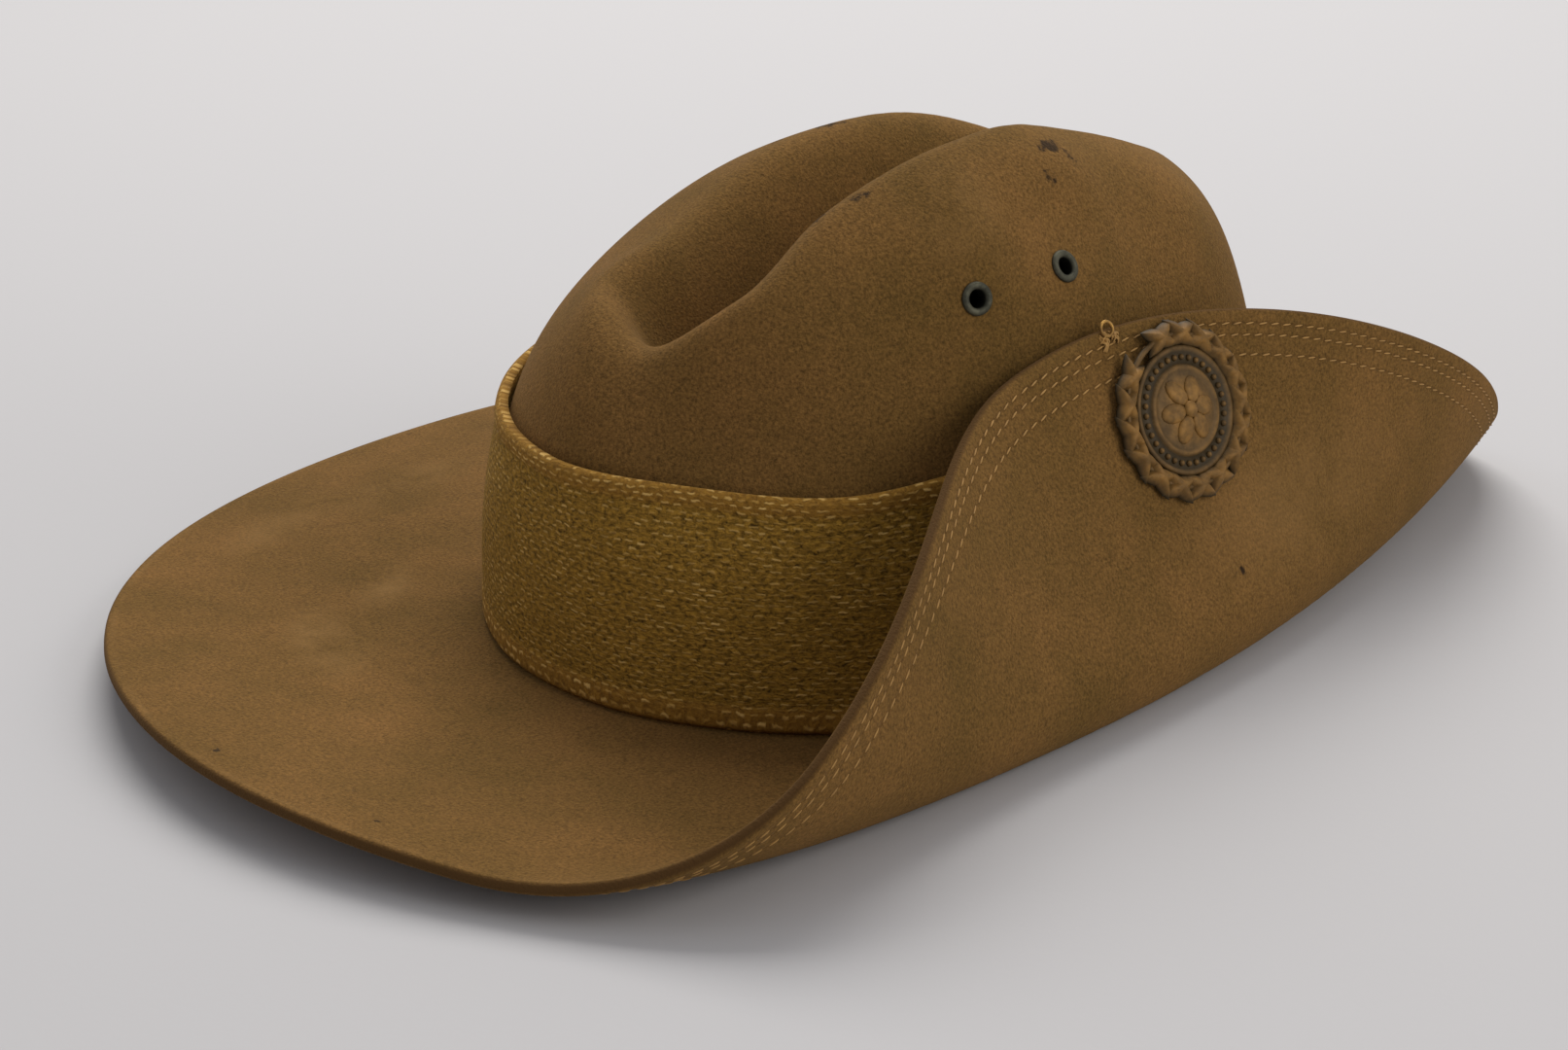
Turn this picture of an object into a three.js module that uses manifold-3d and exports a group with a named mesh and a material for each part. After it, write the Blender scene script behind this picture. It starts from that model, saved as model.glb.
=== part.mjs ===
// A felt slouch hat with its left brim turned up and hooked against the crown.
// Millimetres, +Z up. The front of the hat is -Y and the turned-up side is +X.
// The felt is one blocked piece, hollow under the crown, and rests on the brim.
import * as THREE from "three";
import { mergeVertices } from "three/addons/utils/BufferGeometryUtils.js";
import Module from "manifold-3d";

// Felt wall, and the oval where the crown meets the brim (middle of the wall)
const FELT_WALL = 2.6;
const HEAD_HALF_WIDTH = 84;
const HEAD_HALF_LENGTH = 100.5;
const BREAK_HEIGHT = 8.2;
const BREAK_RADIUS = 3.5;

// Crown, measured from the top of the rounded break
const CROWN_HEIGHT = 118;
const SPINE_HALF_LENGTH = 40;
const SPINE_SETBACK = 3.7;
const SPINE_BLEND = 0.4;
const CREASE_OFFSET = 2.8;

// Brim width and the height of its edge
const BRIM_WIDTH = 90;
const EDGE_HEIGHT_FRONT = 17.8;
const EDGE_HEIGHT_SIDE = 2.8;
const EDGE_HEIGHT_REAR = 6.6;

// The turned-up side: a fold that follows a long arc in plan
const FOLD_PAST_HEAD = 4.6;
const FOLD_CENTRE_Y = -34;
const FOLD_PLAN_RADIUS = 395;
const FOLD_REACH = 150;
const FOLD_RADIUS = 12.6;
const FOLD_OPENS_FRONT = 40.5;
const FOLD_OPENS_REAR = 10.4;
const FOLD_ANGLE = 118;
const FOLD_LOSS_FRONT = 65;
const FOLD_LOSS_REAR = 24.5;

// How the hat lies: it leans a little to the hooked side and its lowest felt is pressed flat
const LEAN_LEFT = 1.15;
const REST_PRESS = 0.9;

// Grid of the felt
const AROUND = 60;
const CROWN_RINGS = 14;
const TOP_CROWDING = 1.2;
const BREAK_RINGS = 2;
const BRIM_RINGS = 15;

// Band
const BAND_HEIGHT = 50;
const BAND_FOOT = 0.8;
const BAND_THICKNESS = 2.4;
const BAND_SKIRT = 2.4;
const FIT_CLEARANCE = 0.3;
const BAND_ROWS = 6;

// Eyelets
const EYELET_HOLE_RADIUS = 2.75;
const EYELET_BARREL_WALL = 0.4;
const EYELET_FLANGE_RADIUS = 3.8;
const EYELET_FLANGE_HEIGHT = 1;
const EYELET_PRESS = 0.35;
const EYELET_SIDES = 12;
const EYELET_TURN_FRONT = 67;
const EYELET_TURN_REAR = 85.5;
const EYELET_RISE_LEFT = 0.748;
const EYELET_RISE_RIGHT = 0.68;

// Badge: an oval plate with a domed boss inside a wreath, on the outside of the turned-up side
const BADGE_TURN = 96.5;
const BADGE_PLACE = 2.765;
const BADGE_TILT = 24;
const BADGE_SAG = 1.1;
const BADGE_HALF_WIDTH = 23.5;
const BADGE_HALF_HEIGHT = 22;
const BADGE_PLATE_SHARE = 0.66;
const BADGE_PLATE_THICKNESS = 1.2;
const BADGE_BOSS_SHARE = 0.46;
const BADGE_RELIEF = 2.8;
const BADGE_SIDES = 28;
const LEAVES_A_SIDE = 8;
const LEAF_LENGTH = 11.5;
const LEAF_WIDTH = 4.4;
const LEAF_SPLAY = 32;
const WREATH_SHARE = 0.77;
const WREATH_FOOT = 12;
const WREATH_TOP = 158;

// Wire loop at the edge of the turned-up side
const HOOK_TURN = 91.5;
const HOOK_RADIUS = 1.7;
const HOOK_WIRE = 0.4;
const HOOK_LAP = 1.4;

// Sections round the crown: height as a share of CROWN_HEIGHT, and how square the profile is
const CROWN_SECTIONS = [
  { turn: 0, height: 0.84, square: 2.65 },
  { turn: 45, height: 0.95, square: 2.6 },
  { turn: 90, height: 1.015, square: 3.0 },
  { turn: 135, height: 0.905, square: 3.3 },
  { turn: 180, height: 0.865, square: 2.6 },
  { turn: 225, height: 0.905, square: 2.4 },
  { turn: 270, height: 0.88, square: 2.45 },
  { turn: 315, height: 0.775, square: 2.55 },
];

// Widths round the brim, as shares of BRIM_WIDTH
const BRIM_SECTIONS = [
  { turn: 0, width: 1.05 },
  { turn: 45, width: 1.07 },
  { turn: 90, width: 1.085 },
  { turn: 135, width: 0.965 },
  { turn: 180, width: 0.96 },
  { turn: 225, width: 0.995 },
  { turn: 270, width: 1.015 },
  { turn: 315, width: 1.005 },
];

// The fore-and-aft crease. along and width are shares of the head's half length and half width,
// depth is a share of CROWN_HEIGHT
const CREASE_SECTIONS = [
  { along: -0.92, depth: 0.0, width: 0.16 },
  { along: -0.8, depth: 0.09, width: 0.25 },
  { along: -0.68, depth: 0.25, width: 0.35 },
  { along: -0.5, depth: 0.35, width: 0.35 },
  { along: -0.1, depth: 0.41, width: 0.43 },
  { along: 0.3, depth: 0.37, width: 0.41 },
  { along: 0.55, depth: 0.22, width: 0.39 },
  { along: 0.78, depth: 0.0, width: 0.28 },
];

// Soft dents in the crown. turn and spread in degrees, rise and tall as shares of the size in
// the column of, depth as a share of HEAD_HALF_WIDTH
const DENTS = [
  { name: "pressed by the brim", of: BRIM_WIDTH, turn: 88, rise: 0.77, depth: 0.13, spread: 40, tall: 0.345 },
  { name: "above the eyelets", of: CROWN_HEIGHT, turn: 104, rise: 0.85, depth: 0.07, spread: 16, tall: 0.155 },
  { name: "below the crease", of: CROWN_HEIGHT, turn: 22, rise: 0.49, depth: 0.03, spread: 18, tall: 0.18 },
];
// A dent fades out at this many times its spread
const DENT_FADE = 1.6;

const radians = THREE.MathUtils.degToRad;
const PROBE = 1e-3;
const FULL_TURN = 360;

// Smooth value of one column of a table at a place, between its rows
function tableValue(rows, key, column, place) {
  let i = 0;
  while (i < rows.length - 2 && place > rows[i + 1][key]) i += 1;
  const here = rows[i];
  const next = rows[i + 1];
  const before = rows[Math.max(i - 1, 0)];
  const after = rows[Math.min(i + 2, rows.length - 1)];
  const span = next[key] - here[key];
  const t = THREE.MathUtils.clamp((place - here[key]) / span, 0, 1);
  const slopeHere = ((next[column] - before[column]) / (next[key] - before[key])) * span;
  const slopeNext = ((after[column] - here[column]) / (after[key] - here[key])) * span;
  const t2 = t * t;
  const t3 = t2 * t;
  return (2 * t3 - 3 * t2 + 1) * here[column] + (t3 - 2 * t2 + t) * slopeHere
    + (3 * t2 - 2 * t3) * next[column] + (t3 - t2) * slopeNext;
}

// A table of sections round the hat, repeated past both ends so that it closes on itself
function closed(rows) {
  return [-1, 0, 1].flatMap((lap) => rows.map((row) => ({ ...row, turn: row.turn + lap * FULL_TURN })));
}
const closedCrown = closed(CROWN_SECTIONS);
const closedBrim = closed(BRIM_SECTIONS);

function degreesOf(turn) {
  return (THREE.MathUtils.radToDeg(turn) + FULL_TURN) % FULL_TURN;
}

function crownValue(column, turnDegrees) {
  return tableValue(closedCrown, "turn", column, turnDegrees);
}

// Point on the oval at the crown's foot, and the oval's outward direction there
function headOval(turn) {
  const x = HEAD_HALF_WIDTH * Math.sin(turn);
  const y = -HEAD_HALF_LENGTH * Math.cos(turn);
  const normal = new THREE.Vector2(Math.sin(turn) / HEAD_HALF_WIDTH, -Math.cos(turn) / HEAD_HALF_LENGTH);
  return { x, y, normal: normal.normalize() };
}

function bump(distance) {
  return Math.abs(distance) < 1 ? 0.5 + 0.5 * Math.cos(Math.PI * distance) : 0;
}

// How far the crease drops the top of the crown
function creaseDepth(x, y) {
  const along = y / HEAD_HALF_LENGTH;
  const first = CREASE_SECTIONS[0].along;
  const last = CREASE_SECTIONS[CREASE_SECTIONS.length - 1].along;
  if (along <= first || along >= last) return 0;
  const width = tableValue(CREASE_SECTIONS, "along", "width", along) * HEAD_HALF_WIDTH;
  const depth = tableValue(CREASE_SECTIONS, "along", "depth", along) * CROWN_HEIGHT;
  return Math.max(depth, 0) * bump((x - CREASE_OFFSET) / width);
}

// Height of the spine before the crease, the same on its left and its right
function spineHeight(turn) {
  const fore = Math.cos(turn);
  const end = crownValue("height", fore > 0 ? 0 : FULL_TURN / 2);
  const middle = (crownValue("height", FULL_TURN / 4) + crownValue("height", (FULL_TURN * 3) / 4)) / 2;
  return (middle + (end - middle) * fore * fore) * CROWN_HEIGHT;
}

// Crown surface: down 0 is the spine along the top, down 1 the foot
function crownPoint(turn, down) {
  const degrees = degreesOf(turn);
  const square = crownValue("square", degrees);
  const angle = (down * Math.PI) / 2;
  const reach = Math.sin(angle) ** (2 / square);
  const rise = Math.cos(angle) ** (2 / square);
  const top = spineHeight(turn);
  const share = THREE.MathUtils.smoothstep(reach, 0, SPINE_BLEND);
  const height = top + (crownValue("height", degrees) * CROWN_HEIGHT - top) * share;
  let inward = 0;
  for (const dent of DENTS) {
    const apart = Math.abs(degrees - dent.turn);
    const aside = Math.min(apart, FULL_TURN - apart) / (dent.spread * DENT_FADE);
    const up = (height * rise - dent.rise * dent.of) / (dent.tall * dent.of * DENT_FADE);
    inward += dent.depth * HEAD_HALF_WIDTH * bump(Math.min(Math.hypot(aside, up), 1)) * share;
  }
  const oval = headOval(turn);
  const spine = SPINE_HALF_LENGTH * (1 - reach);
  const x = oval.x * reach - inward * oval.normal.x;
  const y = oval.y * reach - spine * Math.cos(turn) + SPINE_SETBACK * (reach - 1) - inward * oval.normal.y;
  return new THREE.Vector3(x, y, BREAK_HEIGHT + BREAK_RADIUS + height * rise - creaseDepth(x, y));
}

// The felt's direction on the spine, from the slope of the crease on both sides of it
function spineNormal(turn) {
  const y = crownPoint(turn, 0).y;
  const slope = (creaseDepth(PROBE, y) - creaseDepth(-PROBE, y)) / (2 * PROBE);
  const fall = (creaseDepth(0, y + PROBE) - creaseDepth(0, y - PROBE)) / (2 * PROBE);
  return new THREE.Vector3(slope, fall, 1).normalize();
}

// Brim surface before the fold: out is the distance from the oval, lift the height there
function flatBrimPoint(turn, out, lift) {
  const oval = headOval(turn);
  return new THREE.Vector3(oval.x + out * oval.normal.x, oval.y + out * oval.normal.y, lift);
}

// Turns up what lies beyond the fold's arc
function fold(point) {
  const centreX = HEAD_HALF_WIDTH + FOLD_PAST_HEAD - FOLD_PLAN_RADIUS;
  const fromCentre = new THREE.Vector2(point.x - centreX, point.y - FOLD_CENTRE_Y);
  const beyond = fromCentre.length() - FOLD_PLAN_RADIUS;
  if (beyond <= 0) return point;
  const outward = fromCentre.clone().normalize();
  const along = (point.y - FOLD_CENTRE_Y) / FOLD_REACH;
  const front = along < 0;
  const radius = FOLD_RADIUS + (front ? FOLD_OPENS_FRONT : FOLD_OPENS_REAR) * along * along;
  const angle = radians(Math.max(FOLD_ANGLE - (front ? FOLD_LOSS_FRONT : FOLD_LOSS_REAR) * along * along, 3));
  const bent = Math.min(beyond / radius, angle);
  const straight = Math.max(beyond - radius * angle, 0);
  const reach = FOLD_PLAN_RADIUS + radius * Math.sin(bent) + straight * Math.cos(angle);
  return new THREE.Vector3(
    centreX + outward.x * reach,
    FOLD_CENTRE_Y + outward.y * reach,
    point.z + radius * (1 - Math.cos(bent)) + straight * Math.sin(angle),
  );
}

function breakPoint(turn, share) {
  const angle = (share * Math.PI) / 2;
  const out = BREAK_RADIUS * (1 - Math.cos(angle));
  return flatBrimPoint(turn, out, BREAK_HEIGHT + BREAK_RADIUS * (1 - Math.sin(angle)));
}

function brimPoint(turn, share) {
  const fore = Math.cos(turn);
  const side = Math.sin(turn);
  const width = BRIM_WIDTH * tableValue(closedBrim, "turn", "width", degreesOf(turn));
  const endHeight = fore > 0 ? EDGE_HEIGHT_FRONT : EDGE_HEIGHT_REAR;
  let edge = endHeight * fore * fore + EDGE_HEIGHT_SIDE * side * side;
  // the turned-up side has no droop of its own
  const hooked = Math.max(side, 0) ** 2;
  edge = edge * (1 - hooked) + BREAK_HEIGHT * hooked;
  const out = BREAK_RADIUS + share * (width - BREAK_RADIUS);
  return fold(flatBrimPoint(turn, out, BREAK_HEIGHT + (edge - BREAK_HEIGHT) * share * share));
}

// Middle of the felt: place 0 to 1 is the crown, 1 to 2 the break and 2 to 3 the brim
function feltMiddle(turn, place) {
  if (place < 1) return crownPoint(turn, place);
  if (place < 2) return breakPoint(turn, place - 1);
  return brimPoint(turn, Math.min(place - 2, 1));
}

// Direction out of the felt's upper face
function feltNormal(turn, place) {
  if (place < PROBE) return spineNormal(turn);
  const from = THREE.MathUtils.clamp(place - PROBE, 2 * PROBE, 3 - 3 * PROBE);
  const across = feltMiddle(turn, from + 2 * PROBE).sub(feltMiddle(turn, from));
  const round = feltMiddle(turn + PROBE, from + PROBE).sub(feltMiddle(turn - PROBE, from + PROBE));
  return round.cross(across).normalize().negate();
}

function feltFace(turn, place, offset) {
  return feltMiddle(turn, place).addScaledVector(feltNormal(turn, place), offset);
}

// Places of the rings from the crown's spine to the brim's edge
const places = [];
for (let i = 0; i < CROWN_RINGS; i += 1) places.push((i / CROWN_RINGS) ** TOP_CROWDING);
for (let i = 0; i < BREAK_RINGS; i += 1) places.push(1 + i / BREAK_RINGS);
for (let i = 0; i <= BRIM_RINGS; i += 1) places.push(2 + i / BRIM_RINGS);

// How the hat lies on its surface
const lean = new THREE.Matrix4().makeRotationY(radians(LEAN_LEFT));
let lowest = Infinity;
for (const place of places) {
  for (let i = 0; i < AROUND; i += 1) {
    const under = feltFace((i / AROUND) * 2 * Math.PI, place, -FELT_WALL / 2).applyMatrix4(lean);
    lowest = Math.min(lowest, under.z);
  }
}
const floorDrop = -lowest - REST_PRESS;

function laid(point) {
  const moved = point.clone().applyMatrix4(lean);
  moved.z = Math.max(moved.z + floorDrop, 0);
  return moved;
}

// A closed mesh from a grid of points, rows[i][j], that closes in j, and in i when looped
function gridGeometry(rows, looped) {
  const columns = rows[0].length;
  const positions = rows.flat().flatMap((p) => [p.x, p.y, p.z]);
  const index = [];
  const last = looped ? rows.length : rows.length - 1;
  for (let i = 0; i < last; i += 1) {
    const k = (i + 1) % rows.length;
    for (let j = 0; j < columns; j += 1) {
      const l = (j + 1) % columns;
      const a = i * columns + j;
      const b = i * columns + l;
      const c = k * columns + l;
      const d = k * columns + j;
      index.push(a, d, c, a, c, b);
    }
  }
  const geometry = new THREE.BufferGeometry();
  geometry.setAttribute("position", new THREE.Float32BufferAttribute(positions, 3));
  geometry.setIndex(index);
  return mergeVertices(geometry, 1e-4);
}

const wasm = await Module();
wasm.setup();

function solidOf(geometry) {
  const bare = geometry.clone();
  bare.deleteAttribute("normal");
  bare.deleteAttribute("uv");
  const merged = mergeVertices(bare, 1e-4);
  return new wasm.Manifold(new wasm.Mesh({
    numProp: 3,
    vertProperties: new Float32Array(merged.attributes.position.array),
    triVerts: new Uint32Array(merged.index.array),
  }));
}

function geometryOf(solid) {
  const mesh = solid.getMesh();
  const geometry = new THREE.BufferGeometry();
  geometry.setAttribute("position", new THREE.Float32BufferAttribute(mesh.vertProperties, 3));
  geometry.setIndex(Array.from(mesh.triVerts));
  return geometry;
}

// The felt's rings: out along its upper face and back along its lower face. The ring on the
// spine is a line, so its right half repeats the points of its left half
function feltRows() {
  const rows = [];
  const ring = (place, offset) => Array.from({ length: AROUND }, (_, i) => {
    const step = place === 0 ? Math.min(i, AROUND - i) : i;
    return laid(feltFace((step / AROUND) * 2 * Math.PI, place, offset));
  });
  for (const place of places) rows.push(ring(place, FELT_WALL / 2));
  for (const place of [...places].reverse()) rows.push(ring(place, -FELT_WALL / 2));
  return rows;
}

// A frame that sits on the felt at a place: z out of the chosen face, y up along the felt
function seat(turn, place, face, standOff) {
  const side = Math.sign(face);
  const normal = feltNormal(turn, place).multiplyScalar(side);
  const origin = feltMiddle(turn, place).addScaledVector(normal, FELT_WALL / 2 + standOff);
  const towardsTop = feltMiddle(turn, place + side * -PROBE).sub(feltMiddle(turn, place)).normalize();
  const across = new THREE.Vector3().crossVectors(towardsTop, normal).normalize();
  const up = new THREE.Vector3().crossVectors(normal, across);
  const matrix = new THREE.Matrix4().makeBasis(across, up, normal).setPosition(origin);
  return new THREE.Matrix4().makeTranslation(0, 0, floorDrop).multiply(lean).multiply(matrix);
}

// Place on the crown at a share of its height
function placeAtRise(turn, rise) {
  const degrees = degreesOf(turn);
  return (2 / Math.PI) * Math.acos(rise ** (crownValue("square", degrees) / 2));
}

// The cloth band: a closed sleeve that follows the foot of the crown
function bandRows() {
  const rows = [];
  for (let i = 0; i < AROUND; i += 1) {
    const turn = (i / AROUND) * 2 * Math.PI;
    const height = crownValue("height", (i / AROUND) * FULL_TURN) * CROWN_HEIGHT;
    const inner = [];
    const outer = [];
    for (let j = 0; j < BAND_ROWS; j += 1) {
      const up = BAND_FOOT + (j / (BAND_ROWS - 1)) * BAND_HEIGHT;
      const place = placeAtRise(turn, up / height);
      const gap = FELT_WALL / 2 + FIT_CLEARANCE;
      inner.push(laid(feltFace(turn, place, gap)));
      const skirt = j === 0 ? BAND_SKIRT : 0;
      const outside = feltFace(turn, place, gap + BAND_THICKNESS);
      outer.push(laid(outside.setZ(outside.z - skirt)));
    }
    rows.push([...outer, ...inner.reverse()]);
  }
  return rows;
}

// An eyelet's inner flange starts here, below its outer one
const EYELET_GRIP = FELT_WALL - 2 * EYELET_PRESS + 2 * FIT_CLEARANCE;

function turned(profile) {
  const points = profile.map(([r, z]) => new THREE.Vector2(r, z));
  return new THREE.LatheGeometry(points, EYELET_SIDES).rotateX(Math.PI / 2);
}

// An eyelet: a rolled flange outside, a barrel through the felt and a small flange inside
function eyeletGeometry() {
  const bore = EYELET_HOLE_RADIUS - FIT_CLEARANCE - EYELET_BARREL_WALL;
  const barrel = EYELET_HOLE_RADIUS - FIT_CLEARANCE;
  const top = EYELET_FLANGE_HEIGHT;
  const back = -EYELET_GRIP;
  const lip = back - EYELET_BARREL_WALL;
  return turned([
    [bore, lip], [EYELET_FLANGE_RADIUS - 0.4, lip], [EYELET_FLANGE_RADIUS - 0.4, back], [barrel, back],
    [barrel, 0], [EYELET_FLANGE_RADIUS, 0], [EYELET_FLANGE_RADIUS, top * 0.5],
    [EYELET_FLANGE_RADIUS - 0.7, top], [bore + 0.5, top], [bore, top * 0.6], [bore, lip],
  ]);
}

// What an eyelet takes out of the felt: its hole, and a shallow seat pressed in on each face
function eyeletSeatGeometry() {
  const wide = EYELET_FLANGE_RADIUS + FIT_CLEARANCE;
  const upper = -FIT_CLEARANCE;
  const lower = FIT_CLEARANCE - EYELET_GRIP;
  const past = EYELET_GRIP + FELT_WALL;
  return turned([
    [0, -past], [wide, -past], [wide, lower], [EYELET_HOLE_RADIUS, lower],
    [EYELET_HOLE_RADIUS, upper], [wide, upper], [wide, FELT_WALL], [0, FELT_WALL],
  ]);
}

// One leaf of the wreath: a long pointed lozenge with a ridge along it
function leafGeometry(angle, side, splay) {
  const leaf = new THREE.OctahedronGeometry(1);
  leaf.scale(LEAF_LENGTH / 2, LEAF_WIDTH / 2, BADGE_RELIEF);
  leaf.rotateZ(side * (angle + radians(splay)));
  const x = side * Math.sin(angle) * BADGE_HALF_WIDTH * WREATH_SHARE;
  return leaf.translate(x, -Math.cos(angle) * BADGE_HALF_HEIGHT * WREATH_SHARE, 0);
}

// The badge in its own frame, z out of the felt and y up
function badgeGeometry() {
  const shape = (share) => [BADGE_HALF_WIDTH * share, BADGE_HALF_HEIGHT * share];
  const plate = new THREE.CylinderGeometry(1, 1, BADGE_PLATE_THICKNESS, BADGE_SIDES);
  plate.rotateX(Math.PI / 2).translate(0, 0, BADGE_PLATE_THICKNESS / 2);
  plate.scale(...shape(BADGE_PLATE_SHARE), 1);
  const boss = new THREE.SphereGeometry(1, BADGE_SIDES / 2, 6).rotateX(Math.PI / 2);
  boss.scale(...shape(BADGE_BOSS_SHARE), BADGE_RELIEF * 1.3);
  const leaves = [];
  for (const side of [-1, 1]) {
    for (let i = 0; i < LEAVES_A_SIDE; i += 1) {
      const angle = radians(WREATH_FOOT + ((WREATH_TOP - WREATH_FOOT) * i) / (LEAVES_A_SIDE - 1));
      leaves.push(leafGeometry(angle, side, LEAF_SPLAY), leafGeometry(angle, side, -LEAF_SPLAY));
    }
  }
  const whole = [plate, boss, ...leaves].map(solidOf).reduce((all, piece) => all.add(piece));
  const below = new THREE.BoxGeometry(4 * BADGE_HALF_WIDTH, 4 * BADGE_HALF_HEIGHT, 4 * BADGE_RELIEF);
  below.translate(0, 0, -2 * BADGE_RELIEF);
  return geometryOf(whole.subtract(solidOf(below)));
}

const model = new THREE.Group();

function addPiece(name, geometry, color, roughness, metalness) {
  const piece = new THREE.Mesh(geometry, new THREE.MeshStandardMaterial({ color, roughness, metalness }));
  piece.name = name;
  model.add(piece);
  return piece;
}

const eyelets = [
  { name: "eyelet_left_front", turn: EYELET_TURN_FRONT, rise: EYELET_RISE_LEFT },
  { name: "eyelet_left_rear", turn: EYELET_TURN_REAR, rise: EYELET_RISE_LEFT },
  { name: "eyelet_right_front", turn: FULL_TURN - EYELET_TURN_FRONT, rise: EYELET_RISE_RIGHT },
  { name: "eyelet_right_rear", turn: FULL_TURN - EYELET_TURN_REAR, rise: EYELET_RISE_RIGHT },
].map(({ name, turn, rise }) => {
  const angle = radians(turn);
  return { name, matrix: seat(angle, placeAtRise(angle, rise), 1, FIT_CLEARANCE - EYELET_PRESS) };
});

let feltSolid = solidOf(gridGeometry(feltRows(), false));
for (const { matrix } of eyelets) {
  feltSolid = feltSolid.subtract(solidOf(eyeletSeatGeometry().applyMatrix4(matrix)));
}
addPiece("felt_body", geometryOf(feltSolid), "#8a6236", 0.95, 0);
addPiece("puggaree", gridGeometry(bandRows(), true), "#6f5a2c", 0.9, 0);
for (const { name, matrix } of eyelets) {
  addPiece(name, eyeletGeometry().applyMatrix4(matrix), "#4f4a37", 0.5, 0.8);
}

const badgeSeat = seat(radians(BADGE_TURN), BADGE_PLACE, -1, FIT_CLEARANCE + BADGE_SAG);
const badge = badgeGeometry().rotateZ(radians(BADGE_TILT));
addPiece("badge", badge.applyMatrix4(badgeSeat), "#5d4526", 0.55, 0.7);

// The wire loop stands up past the edge of the turned-up side, on its outside
const hookSeat = seat(radians(HOOK_TURN), 3 - PROBE, -1, HOOK_WIRE + FIT_CLEARANCE);
const hook = new THREE.TorusGeometry(HOOK_RADIUS, HOOK_WIRE, 6, 14);
hook.translate(0, HOOK_RADIUS + HOOK_WIRE - HOOK_LAP, 0);
addPiece("brim_hook", hook.applyMatrix4(hookSeat), "#b08d4a", 0.4, 0.9);

// The origin is the middle of the underside of the whole hat
const middle = new THREE.Box3().setFromObject(model).getCenter(new THREE.Vector3());
for (const piece of model.children) piece.geometry.translate(-middle.x, -middle.y, 0);

export default model;
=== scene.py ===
"""Dressed model of a worn felt slouch hat whose left brim is turned up and hooked.

Metres, +Z up. The front of the hat is towards -Y and the turned-up side towards +X, in the
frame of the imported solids. Sizes inside the classes are in millimetres.
"""
import logging
import math
from dataclasses import dataclass, field
from enum import Enum
from typing import Sequence

import bmesh
import bpy
import numpy as np
from mathutils import Matrix, Vector, noise


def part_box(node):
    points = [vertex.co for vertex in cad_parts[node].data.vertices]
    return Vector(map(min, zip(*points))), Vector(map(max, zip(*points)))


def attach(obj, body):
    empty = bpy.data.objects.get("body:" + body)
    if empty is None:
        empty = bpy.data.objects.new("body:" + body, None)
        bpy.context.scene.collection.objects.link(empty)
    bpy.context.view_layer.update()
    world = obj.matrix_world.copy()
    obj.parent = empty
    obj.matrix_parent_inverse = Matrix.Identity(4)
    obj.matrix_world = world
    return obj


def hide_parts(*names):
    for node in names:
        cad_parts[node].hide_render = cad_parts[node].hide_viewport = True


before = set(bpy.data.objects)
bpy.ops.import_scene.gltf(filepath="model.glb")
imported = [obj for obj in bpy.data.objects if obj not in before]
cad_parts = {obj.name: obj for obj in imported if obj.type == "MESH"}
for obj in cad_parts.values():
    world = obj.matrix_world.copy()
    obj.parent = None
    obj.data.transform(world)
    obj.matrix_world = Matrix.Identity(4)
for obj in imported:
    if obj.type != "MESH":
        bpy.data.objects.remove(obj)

log = logging.getLogger("slouch_hat")

MM = 0.001
PROBE = 1e-3
PHOTO_WIDTH = 1613


class Side(Enum):
    """Which face of the felt a thing sits on."""

    OUTER = 1
    UNDER = -1


class Blend(Enum):
    """How a mix node joins its two colours, where it isn't laid over."""

    DARKEN = "MULTIPLY"


# Tables and small sums


def table_value(rows: np.ndarray, column: int, at: np.ndarray) -> np.ndarray:
    """Smooth value of one column of a table between its rows.

    Args:
        rows: the table, with the places in column 0.
        column: the column wanted.
        at: the places wanted.

    Returns:
        The values at those places.
    """
    keys = rows[:, 0]
    values = rows[:, column]
    here = np.clip(np.searchsorted(keys, at) - 1, 0, len(keys) - 2)
    after = here + 1
    before = np.maximum(here - 1, 0)
    beyond = np.minimum(here + 2, len(keys) - 1)
    span = keys[after] - keys[here]
    t = np.clip((at - keys[here]) / span, 0, 1)
    slope_here = (values[after] - values[before]) / (keys[after] - keys[before]) * span
    slope_next = (values[beyond] - values[here]) / (keys[beyond] - keys[here]) * span
    return (
        (2 * t**3 - 3 * t**2 + 1) * values[here]
        + (t**3 - 2 * t**2 + t) * slope_here
        + (3 * t**2 - 2 * t**3) * values[after]
        + (t**3 - t**2) * slope_next
    )


def closed_table(rows: Sequence[Sequence[float]]) -> np.ndarray:
    """Repeats a table of sections round the hat so that it closes on itself.

    Args:
        rows: the sections of one lap, with their turn in degrees first.

    Returns:
        Three laps of the table.
    """
    table = np.array(rows, dtype=float)
    laps = [table + np.array([lap * 360.0] + [0.0] * (table.shape[1] - 1)) for lap in (-1, 0, 1)]
    return np.concatenate(laps)


def bump(distance: np.ndarray) -> np.ndarray:
    """A soft hump: 1 at distance 0 and 0 from distance 1 on."""
    return np.where(np.abs(distance) < 1, 0.5 + 0.5 * np.cos(np.pi * distance), 0.0)


def smooth_step(low: float, high: float, value: np.ndarray) -> np.ndarray:
    """Rises smoothly from 0 at low to 1 at high."""
    t = np.clip((value - low) / (high - low), 0, 1)
    return t * t * (3 - 2 * t)


def unit(vectors: np.ndarray) -> np.ndarray:
    """Scales vectors to length 1."""
    return vectors / np.linalg.norm(vectors, axis=-1, keepdims=True)


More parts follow.
